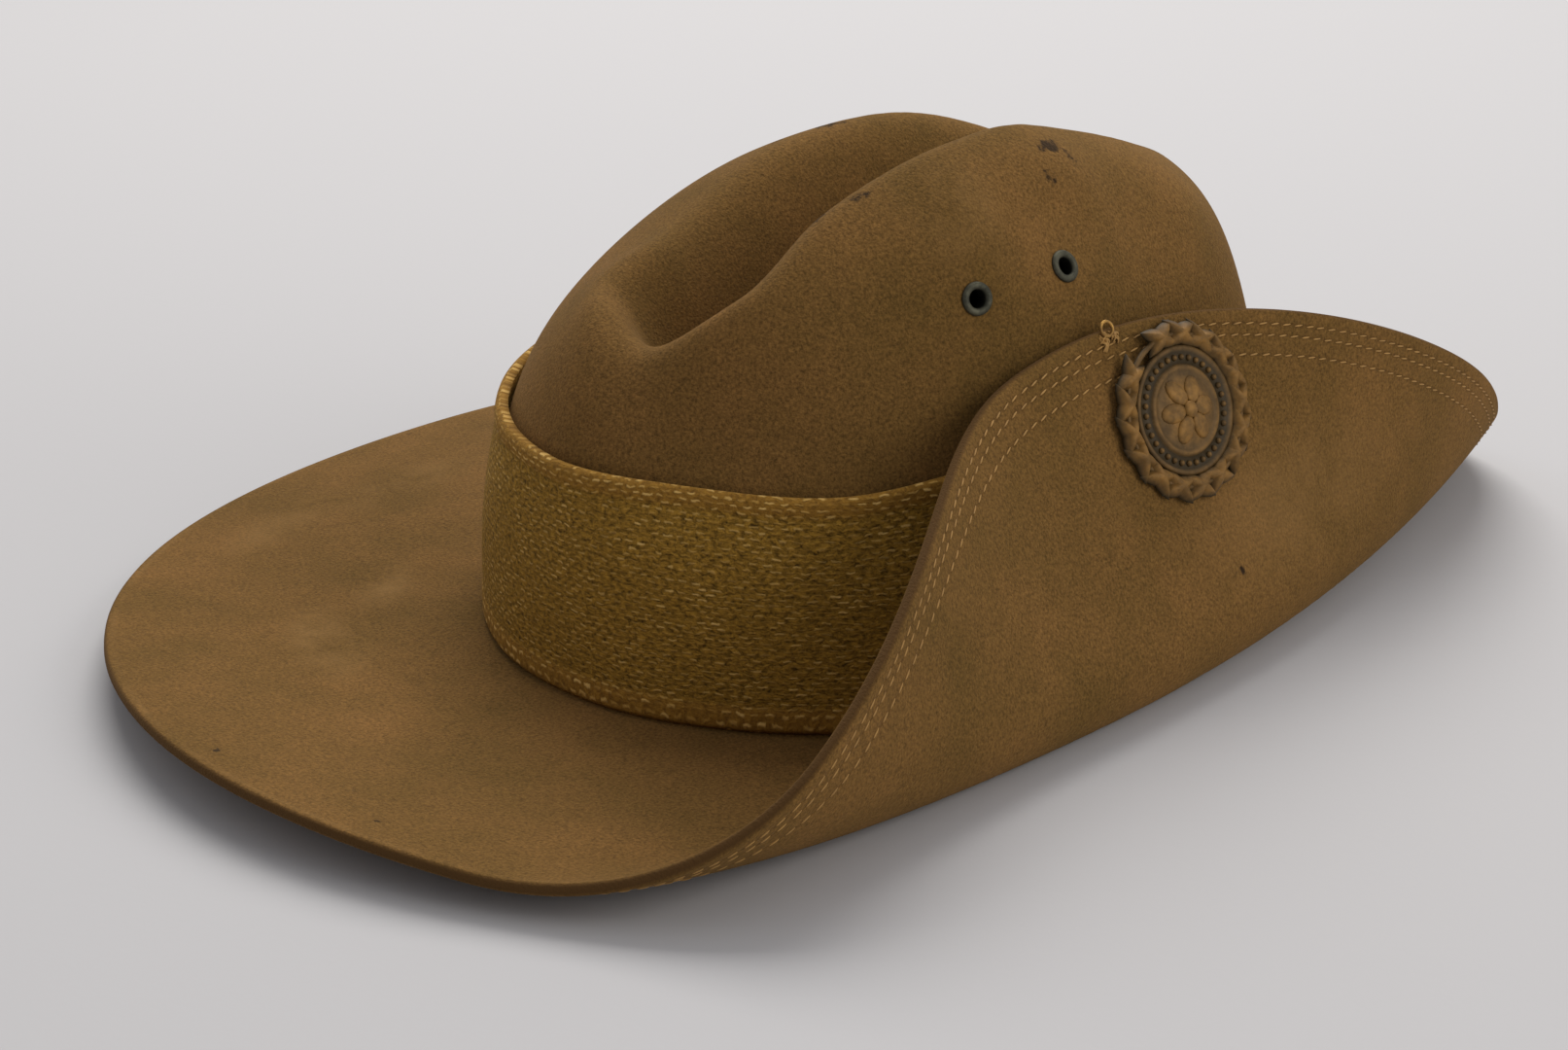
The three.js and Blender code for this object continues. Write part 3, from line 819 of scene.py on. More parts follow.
@dataclass(frozen=True)
class TwillCloth(Finish):
    """Coarse woven wool twill.

    Thick soft yarns give the eye a fuzzy olive and golden ground. Over it short brighter floats
    lie along the band, each row stepped on from the last, so that faint slanting wales show.
    """

    ground: str = "#45310d"
    ground_warm: str = "#b48834"
    float_gold: str = "#cb9a48"
    float_pale: str = "#e6bd70"
    hem_warm: str = "#94662a"
    sheen: str = "#b0904a"
    row_mm: float = 1.25
    repeat_mm: float = 3.3
    step_mm: float = 1.6
    yarn_mm: float = 0.9

    def dress(self, tree: bpy.types.NodeTree, shader: bpy.types.Node) -> None:
        """Builds the cloth's colour and relief.

        Args:
            tree: the material's tree.
            shader: the shader that it feeds.
        """
        uv = add_node(tree, "ShaderNodeUVMap", uv_map="Cloth")
        warp = add_node(tree, "ShaderNodeTexNoise", {"Vector": uv, "Scale": 0.35, "Detail": 3.0})
        moved = add_node(
            tree,
            "ShaderNodeVectorMath",
            {0: warp.outputs["Color"], 1: (2.6, 1.5, 0.0), 2: uv},
            operation="MULTIPLY_ADD",
        )
        split = add_node(tree, "ShaderNodeSeparateXYZ", {"Vector": moved})
        row = add_node(tree, "ShaderNodeMath", {0: split.outputs["Y"], 1: self.row_mm}, operation="DIVIDE")
        row_number = add_node(tree, "ShaderNodeMath", {0: row}, operation="FLOOR")
        row_part = add_node(tree, "ShaderNodeMath", {0: row}, operation="FRACT")
        stepped = add_node(
            tree,
            "ShaderNodeMath",
            {0: row_number, 1: self.step_mm, 2: split.outputs["X"]},
            operation="MULTIPLY_ADD",
        )
        repeat = add_node(tree, "ShaderNodeMath", {0: stepped, 1: self.repeat_mm}, operation="DIVIDE")
        part = add_node(tree, "ShaderNodeMath", {0: repeat}, operation="FRACT")
        repeat_number = add_node(tree, "ShaderNodeMath", {0: repeat}, operation="FLOOR")
        along = add_node(tree, "ShaderNodeMath", {0: part, 1: 0.5}, operation="PINGPONG")
        across = add_node(tree, "ShaderNodeMath", {0: row_part, 1: 0.5}, operation="PINGPONG")
        long_mask = add_node(
            tree,
            "ShaderNodeMapRange",
            {"Value": along, "From Min": 0.13, "From Max": 0.3},
            interpolation_type="SMOOTHSTEP",
        )
        thin_mask = add_node(
            tree,
            "ShaderNodeMapRange",
            {"Value": across, "From Min": 0.22, "From Max": 0.46},
            interpolation_type="SMOOTHSTEP",
        )
        float_mask = add_node(tree, "ShaderNodeMath", {0: long_mask, 1: thin_mask}, operation="MULTIPLY")
        cell = add_node(tree, "ShaderNodeCombineXYZ", {"X": repeat_number, "Y": row_number})
        chance = add_node(tree, "ShaderNodeTexWhiteNoise", {"Vector": cell}, noise_dimensions="2D")
        patches = add_node(
            tree, "ShaderNodeTexNoise", {"Vector": uv, "Scale": 0.06, "Detail": 4.0, "Roughness": 0.65}
        )
        strength = add_node(
            tree, "ShaderNodeMapRange", {"Value": patches, "From Min": 0.36, "From Max": 0.64, "To Min": 0.25}
        )
        hem = add_node(tree, "ShaderNodeAttribute", attribute_name="hem")
        clear = add_node(tree, "ShaderNodeMath", {0: strength, 1: hem.outputs["Fac"]}, operation="MAXIMUM")
        uneven = add_node(tree, "ShaderNodeMapRange", {"Value": chance, "To Min": 0.15, "To Max": 1.0})
        shown = add_node(tree, "ShaderNodeMath", {0: float_mask, 1: uneven}, operation="MULTIPLY")
        faded = add_node(tree, "ShaderNodeMath", {0: shown, 1: clear}, operation="MULTIPLY", use_clamp=True)
        yarn_place = add_node(
            tree, "ShaderNodeVectorMath", {0: moved, 1: (0.55, 1.0, 1.0)}, operation="MULTIPLY"
        )
        yarn = add_node(
            tree,
            "ShaderNodeTexNoise",
            {"Vector": yarn_place, "Scale": 1 / self.yarn_mm, "Detail": 3.0, "Roughness": 0.75},
        )
        fuzz = add_node(tree, "ShaderNodeMapRange", {"Value": yarn, "From Min": 0.32, "From Max": 0.68})
        ground = add_node(
            tree,
            "ShaderNodeMixRGB",
            {"Fac": fuzz, "Color1": linear(self.ground), "Color2": linear(self.ground_warm)},
        )
        hem_share = add_node(tree, "ShaderNodeMath", {0: hem.outputs["Fac"], 1: 0.45}, operation="MULTIPLY")
        warmed = add_node(
            tree, "ShaderNodeMixRGB", {"Fac": hem_share, "Color1": ground, "Color2": linear(self.hem_warm)}
        )
        gold = add_node(
            tree,
            "ShaderNodeMixRGB",
            {"Fac": chance, "Color1": linear(self.float_gold), "Color2": linear(self.float_pale)},
        )
        colour = add_node(tree, "ShaderNodeMixRGB", {"Fac": faded, "Color1": warmed, "Color2": gold})
        rough = add_node(tree, "ShaderNodeBump", {"Height": yarn, "Strength": 0.8, "Distance": 0.7 * MM})
        relief = add_node(
            tree,
            "ShaderNodeBump",
            {"Height": float_mask, "Strength": 0.5, "Distance": 0.35 * MM, "Normal": rough},
        )
        feed(tree, shader, {"Base Color": colour, "Normal": relief, "Roughness": 0.9})
        feed(tree, shader, {"Specular IOR Level": 0.15, "Sheen Weight": 0.2, "Sheen Roughness": 0.5})
        feed(tree, shader, {"Sheen Tint": linear(self.sheen)})


@dataclass(frozen=True)
class AgedMetal(Finish):
    """Metal that has tarnished and is brighter where it is rubbed; its recesses are dark and matt, the dark
    being painted shade.
    """

    bright: str = "#936a2c"
    tarnish: str = "#6d4e1e"
    # Dark colour of the painted shade in the recesses.
    painted_recess_shade: str = "#33280f"
    rough_bright: float = 0.5
    metallic: float = 0.3
    patch_mm: float = 3.5

    def dress(self, tree: bpy.types.NodeTree, shader: bpy.types.Node) -> None:
        """Lays patchy tarnish over the metal, and painted shade where the raised attribute is low.

        Args:
            tree: the material's tree.
            shader: the shader that it feeds.
        """
        place = add_node(tree, "ShaderNodeTexCoord").outputs["Object"]
        patches = add_node(
            tree,
            "ShaderNodeTexNoise",
            {"Vector": place, "Scale": 1 / (self.patch_mm * MM), "Detail": 4.0, "Roughness": 0.65},
        )
        split = add_node(tree, "ShaderNodeMapRange", {"Value": patches, "From Min": 0.38, "From Max": 0.62})
        skin = add_node(
            tree,
            "ShaderNodeMixRGB",
            {"Fac": split, "Color1": linear(self.tarnish), "Color2": linear(self.bright)},
        )
        # Painted shade: where the raised attribute is low, the dark recess colour replaces the tarnish.
        raised = add_node(tree, "ShaderNodeAttribute", attribute_name="raised")
        colour = add_node(
            tree,
            "ShaderNodeMixRGB",
            {"Fac": raised.outputs["Fac"], "Color1": linear(self.painted_recess_shade), "Color2": skin},
        )
        dull = add_node(
            tree, "ShaderNodeMapRange", {"Value": patches, "To Min": 0.75, "To Max": self.rough_bright}
        )
        grain = add_node(
            tree, "ShaderNodeTexNoise", {"Vector": place, "Scale": 1 / (0.5 * MM), "Detail": 3.0}
        )
        relief = add_node(tree, "ShaderNodeBump", {"Height": grain, "Strength": 0.3, "Distance": 0.1 * MM})
        feed(tree, shader, {"Base Color": colour, "Roughness": dull, "Normal": relief})
        feed(tree, shader, {"Metallic": self.metallic})


@dataclass(frozen=True)
class CottonThread(Finish):
    """Waxed cotton sewing thread, golden and a little dirty."""

    colour: str = "#c0924c"
    dirt: str = "#8d6a38"

    def dress(self, tree: bpy.types.NodeTree, shader: bpy.types.Node) -> None:
        """Makes thread whose colour differs from stitch to stitch.

        Args:
            tree: the material's tree.
            shader: the shader that it feeds.
        """
        place = add_node(
            tree,
            "ShaderNodeTexCoord",
        ).outputs["Object"]
        patches = add_node(
            tree, "ShaderNodeTexNoise", {"Vector": place, "Scale": 1 / (6 * MM), "Detail": 3.0}
        )
        colour = add_node(
            tree,
            "ShaderNodeMixRGB",
            {"Fac": patches, "Color1": linear(self.dirt), "Color2": linear(self.colour)},
        )
        feed(tree, shader, {"Base Color": colour, "Roughness": 0.7})


@dataclass(frozen=True)
class PlainCloth(Finish):
    """Pale cotton cloth under and behind the hat."""

    colour: str = "#c2c0c0"

    def dress(self, tree: bpy.types.NodeTree, shader: bpy.types.Node) -> None:
        """Makes a plain pale cloth with a faint weave.

        Args:
            tree: the material's tree.
            shader: the shader that it feeds.
        """
        place = add_node(
            tree,
            "ShaderNodeTexCoord",
        ).outputs["Object"]
        weave = add_node(tree, "ShaderNodeTexNoise", {"Vector": place, "Scale": 400.0, "Detail": 2.0})
        relief = add_node(tree, "ShaderNodeBump", {"Height": weave, "Strength": 0.15, "Distance": 0.2 * MM})
        feed(tree, shader, {"Base Color": linear(self.colour), "Normal": relief, "Roughness": 0.9})


# Sub-assemblies


@dataclass(frozen=True)
class Mark:
    """A worn place on a face of the felt: its middle, its two half sizes in mm and its strength."""

    turn: float
    place: float
    side: Side
    round_mm: float
    along_mm: float
    strength: float


SOILED = (
    Mark(256, 0.20, Side.OUTER, 11, 4, 1.0),
    Mark(268, 0.22, Side.OUTER, 6, 3, 0.8),
    Mark(96, 0.28, Side.OUTER, 8, 5, 1.0),
    Mark(91, 0.36, Side.OUTER, 4, 6, 0.85),
    Mark(99, 0.33, Side.OUTER, 4, 5, 0.85),
    Mark(45, 0.24, Side.OUTER, 9, 5, 0.95),
    Mark(53, 0.25, Side.OUTER, 8, 4, 0.85),
    Mark(38, 0.26, Side.OUTER, 4, 4, 0.8),
    Mark(273, 2.95, Side.OUTER, 14, 5, 0.5),
    Mark(354, 2.925, Side.OUTER, 3.2, 2.4, 1.0),
    Mark(9, 2.89, Side.OUTER, 2.6, 2.2, 0.9),
    Mark(98, 2.33, Side.UNDER, 3.2, 2.6, 1.1),
)
RUBBED = (
    Mark(332, 2.43, Side.OUTER, 30, 14, 0.75),
    Mark(316, 2.29, Side.OUTER, 24, 10, 0.8),
    Mark(286, 2.6, Side.OUTER, 34, 14, 0.6),
    Mark(300, 2.75, Side.OUTER, 40, 12, 0.45),
    Mark(250, 0.3, Side.OUTER, 60, 18, 0.35),
    Mark(68, 0.36, Side.OUTER, 16, 30, 0.5),
    Mark(110, 2.5, Side.UNDER, 60, 26, 0.35),
)


@dataclass
class FeltBody:
    """Crown and brim in one closed wall of felt with a rounded cut edge."""

    shape: HatShape
    columns: int = 360
    crown_rings: int = 70
    break_rings: int = 6
    brim_rings: int = 76
    edge_rings: int = 6
    edge_bulge: float = 0.7
    mark_depth: float = 9.0
    degree_mm: float = 1.6
    place_mm: float = 90.0

    def profile(self) -> list[tuple[float, float, float]]:
        """Lists the rings of the felt's wall, from the spine out and back under.

        Returns:
            For each ring its place, its offset from the middle and its outward reach.
        """
        half = self.shape.felt_wall / 2
        upper = [((i / self.crown_rings) ** 1.2) for i in range(self.crown_rings)]
        upper += [1 + i / self.break_rings for i in range(self.break_rings)]
        upper += [2 + i / self.brim_rings for i in range(self.brim_rings + 1)]
        rings = [(place, half, 0.0) for place in upper]
        for i in range(1, self.edge_rings):
            share = math.cos(math.pi * i / self.edge_rings)
            rings.append((3.0, half * share, self.edge_bulge * (1 - share**4)))
        under = upper[::2] if upper[-1] == upper[::2][-1] else upper[::2] + [upper[-1]]
        rings += [(place, -half, 0.0) for place in reversed(under)]
        return rings

    def build(self) -> bpy.types.Object:
        """Makes the felt.

        Returns:
            The felt's object.
        """
        rings = self.profile()
        place = np.array([r[0] for r in rings])[:, None]
        offset = np.array([r[1] for r in rings])[:, None]
        bulge = np.array([r[2] for r in rings])[:, None]
        step = np.arange(self.columns + 1)
        mirrored = np.minimum(step, self.columns - step)
        turn = step[None, :] * (2 * np.pi / self.columns) + 0 * place
        turn = np.where(place == 0, mirrored[None, :] * (2 * np.pi / self.columns), turn)
        place = place + 0 * turn
        points = self.shape.face(turn, place, offset + 0 * turn)
        outward = unit(self.shape.middle(turn, place) - self.shape.middle(turn, place - 0.02))
        points = points + outward * (bulge + 0 * turn)[..., None]
        layers = self.marks(turn, place, offset + 0 * turn, points)
        uv = np.stack([np.degrees(turn) * self.degree_mm, place * self.place_mm], -1)
        return sheet_mesh("felt_hat", self.shape.to_frame(points), layers, uv)

    def marks(
        self, turn: np.ndarray, place: np.ndarray, offset: np.ndarray, points: np.ndarray
    ) -> dict[str, np.ndarray]:
        """Where the felt is rubbed or soiled, where its cut edge has painted shade and a painted highlight,
        and how far each point is from the brim's edge.

        Args:
            turn: place round the hat of each point.
            place: place from the spine to the edge of each point.
            offset: distance of each point from the middle of the felt.
            points: positions in the hat's own frame.

        Returns:
            The values by name: 0 to 1, and from_edge in millimetres.
        """
        outer = (offset > 0) & (place < 3)
        layers = {
            "rubbed_and_edge_highlight": self.worn(RUBBED, points, outer),
            "soil": self.worn(SOILED, points, outer),
            # Painted shade on the cut face of the brim's edge.
            "cut_edge_shade": smooth_step(1.0, 0.75, np.abs(offset) / (self.shape.felt_wall / 2)) * (place >= 3),
        }
        # Painted highlight: a thin lighter line on the top face just inside the brim's edge.
        layers["rubbed_and_edge_highlight"] += 0.5 * smooth_step(2.975, 2.995, place) * outer
        width = self.shape.brim_width_at(turn) - self.shape.break_radius
        layers["from_edge"] = np.where((offset < 0) & (place > 2), (3 - place) * width, 100.0)
        return layers

    def worn(self, marks: Sequence[Mark], points: np.ndarray, outer: np.ndarray) -> np.ndarray:
        """Strength of a list of marks at each point of the felt.

        Args:
            marks: the marks.
            points: positions in the hat's own frame.
            outer: which points are on the outer face.

        Returns:
            The strongest mark at each point, from 0 to 1.
        """
        total = np.zeros(points.shape[:2])
        for mark in marks:
            turn = np.array(math.radians(mark.turn))
            place = np.array(mark.place)
            normal = self.shape.normal(turn, place)
            middle = self.shape.face(turn, place, mark.side.value * self.shape.felt_wall / 2)
            along = unit(self.shape.middle(turn, place) - self.shape.middle(turn, place - 0.01))
            across = np.cross(normal, along)
            away = points - middle
            distance = np.sqrt(
                (away @ across / mark.round_mm) ** 2
                + (away @ along / mark.along_mm) ** 2
                + (away @ normal / self.mark_depth) ** 2
            )
            facing = outer if mark.side is Side.OUTER else ~outer
            total = np.maximum(total, mark.strength * bump(distance) * facing)
        return total


@dataclass
class Puggaree:
    """The cloth band wound round the foot of the crown, with a stitched hem at both edges."""

    shape: HatShape
    height: float = 50.0
    foot: float = 0.8
    skirt: float = 2.4
    clearance: float = 0.3
    thickness: float = 2.3
    hem: float = 4.2
    hem_rise: float = 0.3
    fold_depth: float = 0.35
    top_gap: float = 0.9
    side_rise: float = 3.6
    side_turn: float = 72.0
    side_spread: float = 34.0
    hem_groove: float = 0.6
    edge_round: float = 1.4
    edge_inset: float = 0.9
    gap_reach: float = 9.0
    skirt_reach: float = 3.0
    wave_length: float = 24.0
    wave_height: float = 0.4
    cloth_round: float = 590.0
    rows: int = 64
    inner_rows: int = 14
    columns: int = 360

    def height_round(self, turn: np.ndarray) -> np.ndarray:
        """Height of the band, a little more where it was pushed up behind the turned-up side."""
        aside = (np.degrees(turn) - self.side_turn) / self.side_spread
        return self.height + self.side_rise * bump(np.clip(aside, -1, 1))

    def build(self) -> bpy.types.Object:
        """Makes the band as one closed sleeve of cloth.

        Returns:
            The band's object.
        """
        wall = self.shape.felt_wall / 2 + self.clearance
        inner = np.linspace(1, 0, self.inner_rows)
        share = np.concatenate([np.linspace(0, 1, self.rows), inner, [0.0]])[:, None]
        outside = np.concatenate([np.ones(self.rows), 0 * inner, [1.0]])[:, None]
        turn = np.linspace(0, 2 * np.pi, self.columns + 1)[None, :] + 0 * share
        height = self.height_round(turn)
        rise = share * height
        from_edge = np.minimum(rise, height - rise)
        hem = self.hem_rise * (1 - smooth_step(self.hem - 0.5, self.hem + 0.5, from_edge))
        groove = self.fold_depth * np.exp(-(((from_edge - self.hem) / self.hem_groove) ** 2))
        edge_share = np.minimum(from_edge / self.edge_round, 1)
        rounding = self.edge_inset * (1 - np.sqrt(1 - (1 - edge_share) ** 2))
        gap = self.top_gap * smooth_step(self.gap_reach, 0.0, height - rise)
        offset = wall + gap + outside * (self.thickness + hem - groove - rounding)
        place = self.shape.place_at_rise(turn, (self.foot + rise) / self.shape.height_at(turn))
        smooth = self.shape.face(turn, place, offset)
        wave = waviness(smooth, self.wave_length, 4.0) * self.wave_height * outside
        points = self.shape.face(turn, place, offset + wave)
        points[..., 2] -= self.skirt * smooth_step(self.skirt_reach, 0.0, rise) * outside
        uv = np.stack([turn / (2 * np.pi) * self.cloth_round, rise], -1)
        layers = {"hem": 1 - smooth_step(self.hem - 0.8, self.hem + 0.3, from_edge)}
        return sheet_mesh("puggaree_cloth", self.shape.to_frame(points), layers, uv)


@dataclass
class BrimStitching:
    """Rows of sewn thread that run along the brim near its edge, on its underside."""

    shape: HatShape
    from_edge: tuple = (2.9, 5.7, 10.5)
    pitch: float = 3.8
    length: float = 2.6
    radius: float = 0.22
    tilt: float = 10.0
    row_shift: float = 1.3
    lift: float = 0.04
    floor_gap: float = 0.9
    samples: int = 2400

    def build(self) -> bpy.types.Object:
        """Makes all the stitches as one piece.

        Returns:
            The stitches' object.
        """
        one = bmesh.new()
        bmesh.ops.create_uvsphere(one, u_segments=6, v_segments=5, radius=1)
        stitch = bpy.data.meshes.new("stitch")
        one.to_mesh(stitch)
        one.free()
        bm = bmesh.new()
        for number, distance in enumerate(self.from_edge):
            self.sew_row(bm, stitch, distance, number)
        bpy.data.meshes.remove(stitch)
        return finish_mesh("brim_stitches", bm)

    def sew_row(self, bm: bmesh.types.BMesh, stitch: bpy.types.Mesh, distance: float, number: int) -> None:
        """Adds one row of stitches.

        Args:
            bm: the mesh that it is added to.
            stitch: a round stitch of radius 1, which is copied and drawn out.
            distance: distance from the brim's edge, in millimetres.
            number: the row's number, which shifts its stitches.
        """
        turn = np.linspace(0, 2 * np.pi, self.samples)
        width = self.shape.brim_width_at(turn) - self.shape.break_radius
        place = 3 - distance / width
        path = self.shape.to_frame(self.shape.face(turn, place, -self.shape.felt_wall / 2), pressed=False)
        normal = self.shape.normal(turn, place) @ self.shape.lean().T * -1
        gone = np.concatenate([[0], np.cumsum(np.linalg.norm(np.diff(path, axis=0), axis=1))])
        at = np.arange(number * self.row_shift, gone[-1] - self.pitch / 2, self.pitch)
        where = np.searchsorted(gone, at).clip(1, len(gone) - 2)
        for k in where:
            if path[k, 2] < self.floor_gap:
                continue
            along = Vector(path[k + 1] - path[k - 1]).normalized()
            out = Vector(normal[k])
            along = Matrix.Rotation(math.radians(self.tilt), 3, out) @ along
            across = out.cross(along).normalized()
            basis = Matrix((along, across, out)).transposed().to_4x4()
            basis.translation = Vector(path[k]) + out * self.lift
            size = Matrix.Diagonal((self.length / 2, self.radius, self.radius, 1))
            sewn = stitch.copy()
            sewn.transform(Matrix.Scale(MM, 4) @ basis @ size @ Matrix.Rotation(math.pi / 2, 4, "Y"))
            bm.from_mesh(sewn)
            bpy.data.meshes.remove(sewn)


@dataclass
class Eyelet:
    """A rolled ventilation eyelet: flange, barrel and the small flange inside."""

    name: str
    turn: float
    rise: float
    shape: HatShape
    hole_radius: float = 2.75
    clearance: float = 0.3
    barrel_wall: float = 0.4
    flange_radius: float = 3.8
    flange_height: float = 1.0
    press: float = 0.35
    steps: int = 40

    def build(self) -> bpy.types.Object:
        """Makes the eyelet in its hole.

        Returns:
            The eyelet's object.
        """
        bore = self.hole_radius - self.clearance - self.barrel_wall
        grip = self.shape.felt_wall - 2 * self.press + 2 * self.clearance
        roll = (self.flange_radius - bore) / 2
        middle = bore + roll
        profile = [(bore, -grip - 0.5), (bore, 0.1)]
        for i in range(9):
            a = math.pi - math.pi * i / 8
            profile.append((middle + roll * math.cos(a), 0.15 + (self.flange_height - 0.15) * math.sin(a)))
        profile += [(self.flange_radius - 0.1, 0.0), (self.hole_radius - self.clearance, 0.0)]
        profile += [(self.hole_radius - self.clearance, -grip), (self.flange_radius - 0.5, -grip)]
        profile += [(self.flange_radius - 0.5, -grip - 0.4), (self.flange_radius - 0.9, -grip - 0.5)]
        bm = bmesh.new()
        turned_verts(bm, profile, self.steps)
        # Painted shade: the barrel and the parts below the flange's top take most of the dark recess colour.
        store = bm.verts.layers.float.new("raised")
        for vert in bm.verts:
            vert[store] = 1.0 if vert.co.z > self.flange_height * 0.45 else 0.25
        bmesh.ops.recalc_face_normals(bm, faces=bm.faces)
        bmesh.ops.transform(bm, matrix=self.seat(), verts=bm.verts)
        return finish_mesh(self.name, bm)

    def seat(self) -> Matrix:
        """Frame of the eyelet on the crown."""
        place = float(self.shape.place_at_rise(np.array(math.radians(self.turn)), np.array(self.rise)))
        return self.shape.seat(self.turn, place, Side.OUTER, self.clearance - self.press)

    def punch(self, bm: bmesh.types.BMesh) -> None:
        """Adds the round punch that cuts this eyelet's hole.

        Args:
            bm: the mesh that it is added to.
        """
        middle = Matrix.Translation((0, 0, -self.shape.felt_wall / 2))
        bmesh.ops.create_cone(
            bm,
            cap_ends=True,
            segments=32,
            radius1=self.hole_radius,
            radius2=self.hole_radius,
            depth=self.shape.felt_wall * 4,
            matrix=self.seat() @ middle,
        )


def punch_holes(felt: bpy.types.Object, eyelets: Sequence[Eyelet]) -> None:
    """Cuts the eyelets' holes through the felt.

    Args:
        felt: the felt's object.
        eyelets: the eyelets whose holes are cut.
    """
    bm = bmesh.new()
    for eyelet in eyelets:
        eyelet.punch(bm)
    punch = finish_mesh("punch", bm, smooth=False)
    cut = felt.modifiers.new("holes", "BOOLEAN")
    cut.operation = "DIFFERENCE"
    cut.solver = "EXACT"
    cut.object = punch
    apply_modifiers(felt)
    bpy.data.objects.remove(punch)


@dataclass
class Badge:
    """A cast badge of a generic kind: a flower on an oval plate inside an open wreath of leaves."""

    shape: HatShape
    turn: float = 96.5
    place: float = 2.765
    tilt: float = 24.0
    stand_off: float = 1.4
    half_width: float = 23.5
    half_height: float = 22.0
    plate_share: float = 0.66
    boss_share: float = 0.46
    relief: float = 2.8
    leaves_a_side: int = 8
    leaf_length: float = 11.5
    leaf_width: float = 4.4
    splay: float = 32.0
    wreath_share: float = 0.77
    wreath_foot: float = 12.0
    wreath_top: float = 158.0
    beads: int = 34
    bead_radius: float = 0.75
    bead_height: float = 0.9
    stem_radius: float = 0.75
    leaf_lift: float = 0.45
    petals: int = 6
    petal_half: tuple = (2.3, 3.4, 0.9)
    petal_place: tuple = (0, 4.9, 2.1)
    petal_lean: float = 12.0
    button_radius: float = 2.0
    button_flat: float = 0.55
    button_height: float = 2.7
    recess_height: float = 0.7
    raised_height: float = 2.2

    def build(self) -> bpy.types.Object:
        """Makes the badge on the outside of the turned-up side.

        Returns:
            The badge's object.
        """
        bm = bmesh.new()
        self.plate(bm)
        self.branch(bm)
        step = (self.wreath_top - self.wreath_foot) / (self.leaves_a_side - 1)
        for side in (-1, 1):
            for i in range(self.leaves_a_side):
                angle = math.radians(self.wreath_foot + step * i)
                self.leaf(bm, angle, side, self.splay)
                self.leaf(bm, angle, side, -self.splay)
        self.flower(bm)
        # Painted shade: the lower a part of the relief lies, the more of the dark recess colour it takes.
        store = bm.verts.layers.float.new("raised")
        for vert in bm.verts:
            share = (vert.co.z - self.recess_height) / (self.raised_height - self.recess_height)
            vert[store] = min(max(share, 0.0), 1.0)
        seat = self.shape.seat(self.turn, self.place, Side.UNDER, self.stand_off)
        tilted = seat @ Matrix.Rotation(math.radians(self.tilt), 4, "Z")
        bmesh.ops.transform(bm, matrix=tilted, verts=bm.verts)
        return finish_mesh("cast_badge", bm)

    def plate(self, bm: bmesh.types.BMesh) -> None:
        """Adds the oval plate with its rim, its ring of beads and its boss.

        Args:
            bm: the mesh that it is added to.
        """
        rim = self.plate_share
        boss = self.boss_share
        profile = [(0.001, 0.0), (rim - 0.02, 0.0), (rim, 0.5), (rim - 0.01, 1.3), (rim - 0.04, 1.45)]
        profile += [(rim - 0.07, 0.8), (boss + 0.01, 0.8), (boss, 1.3), (boss - 0.03, 1.75)]
        profile += [(boss - 0.06, 1.3), (boss - 0.1, 1.4), (0.28, 1.9), (0.16, 2.4), (0.001, 2.6)]
        verts = turned_verts(bm, profile, 80)
        bmesh.ops.scale(bm, vec=(self.half_width, self.half_height, 1), verts=verts)
        ring = (rim + boss - 0.05) / 2
        for i in range(self.beads):
            angle = 2 * math.pi * i / self.beads
            x = ring * self.half_width * math.sin(angle)
            y = ring * self.half_height * math.cos(angle)
            middle = Matrix.Translation((x, y, self.bead_height))
            bmesh.ops.create_uvsphere(bm, u_segments=8, v_segments=6, radius=self.bead_radius, matrix=middle)

    def branch(self, bm: bmesh.types.BMesh) -> None:
        """Adds the round stem that joins the leaves.

        Args:
            bm: the mesh that it is added to.
        """
        stem = [(math.cos(a), math.sin(a)) for a in np.linspace(0, 2 * math.pi, 9)[:-1]]
        mean = (self.half_width + self.half_height) / 2
        thick = self.stem_radius
        profile = [(self.wreath_share + thick / mean * x, thick + thick * z) for x, z in stem]
        verts = turned_verts(bm, profile, 72)
        bmesh.ops.scale(bm, vec=(self.half_width, self.half_height, 1), verts=verts)

    def leaf(self, bm: bmesh.types.BMesh, angle: float, side: int, splay: float) -> None:
        """Adds one pointed leaf with a raised rib along its middle.

        Args:
            bm: the mesh that it is added to.
            angle: place round the wreath from its foot, in radians.
            side: -1 or 1, the branch that it is on.
            splay: how far it leans from the branch, in degrees.
        """
        made = bmesh.ops.create_uvsphere(bm, u_segments=16, v_segments=11, radius=1)["verts"]
        bmesh.ops.rotate(bm, verts=made, matrix=Matrix.Rotation(math.pi / 2, 3, "Y"))
        for vert in made:
            x, y, z = vert.co
            narrow = max(1 - x * x, 0) ** 0.5
            rib = 1 - 0.45 * min(abs(y) / max(narrow, 0.05), 1) + 0.18 * math.exp(-((y / 0.14) ** 2))
            vert.co = Vector(
                (
                    x * self.leaf_length / 2,
                    y * narrow * self.leaf_width / 2,
                    z * narrow * rib * self.relief * 0.85,
                )
            )
        turn = Matrix.Rotation(side * (angle + math.radians(splay)), 3, "Z")
        bmesh.ops.rotate(bm, verts=made, matrix=turn)
        x = side * math.sin(angle) * self.half_width * self.wreath_share
        y = -math.cos(angle) * self.half_height * self.wreath_share
        bmesh.ops.translate(bm, verts=made, vec=(x, y, self.leaf_lift))
        for vert in made:
            vert.co.z = max(vert.co.z, 0.0)

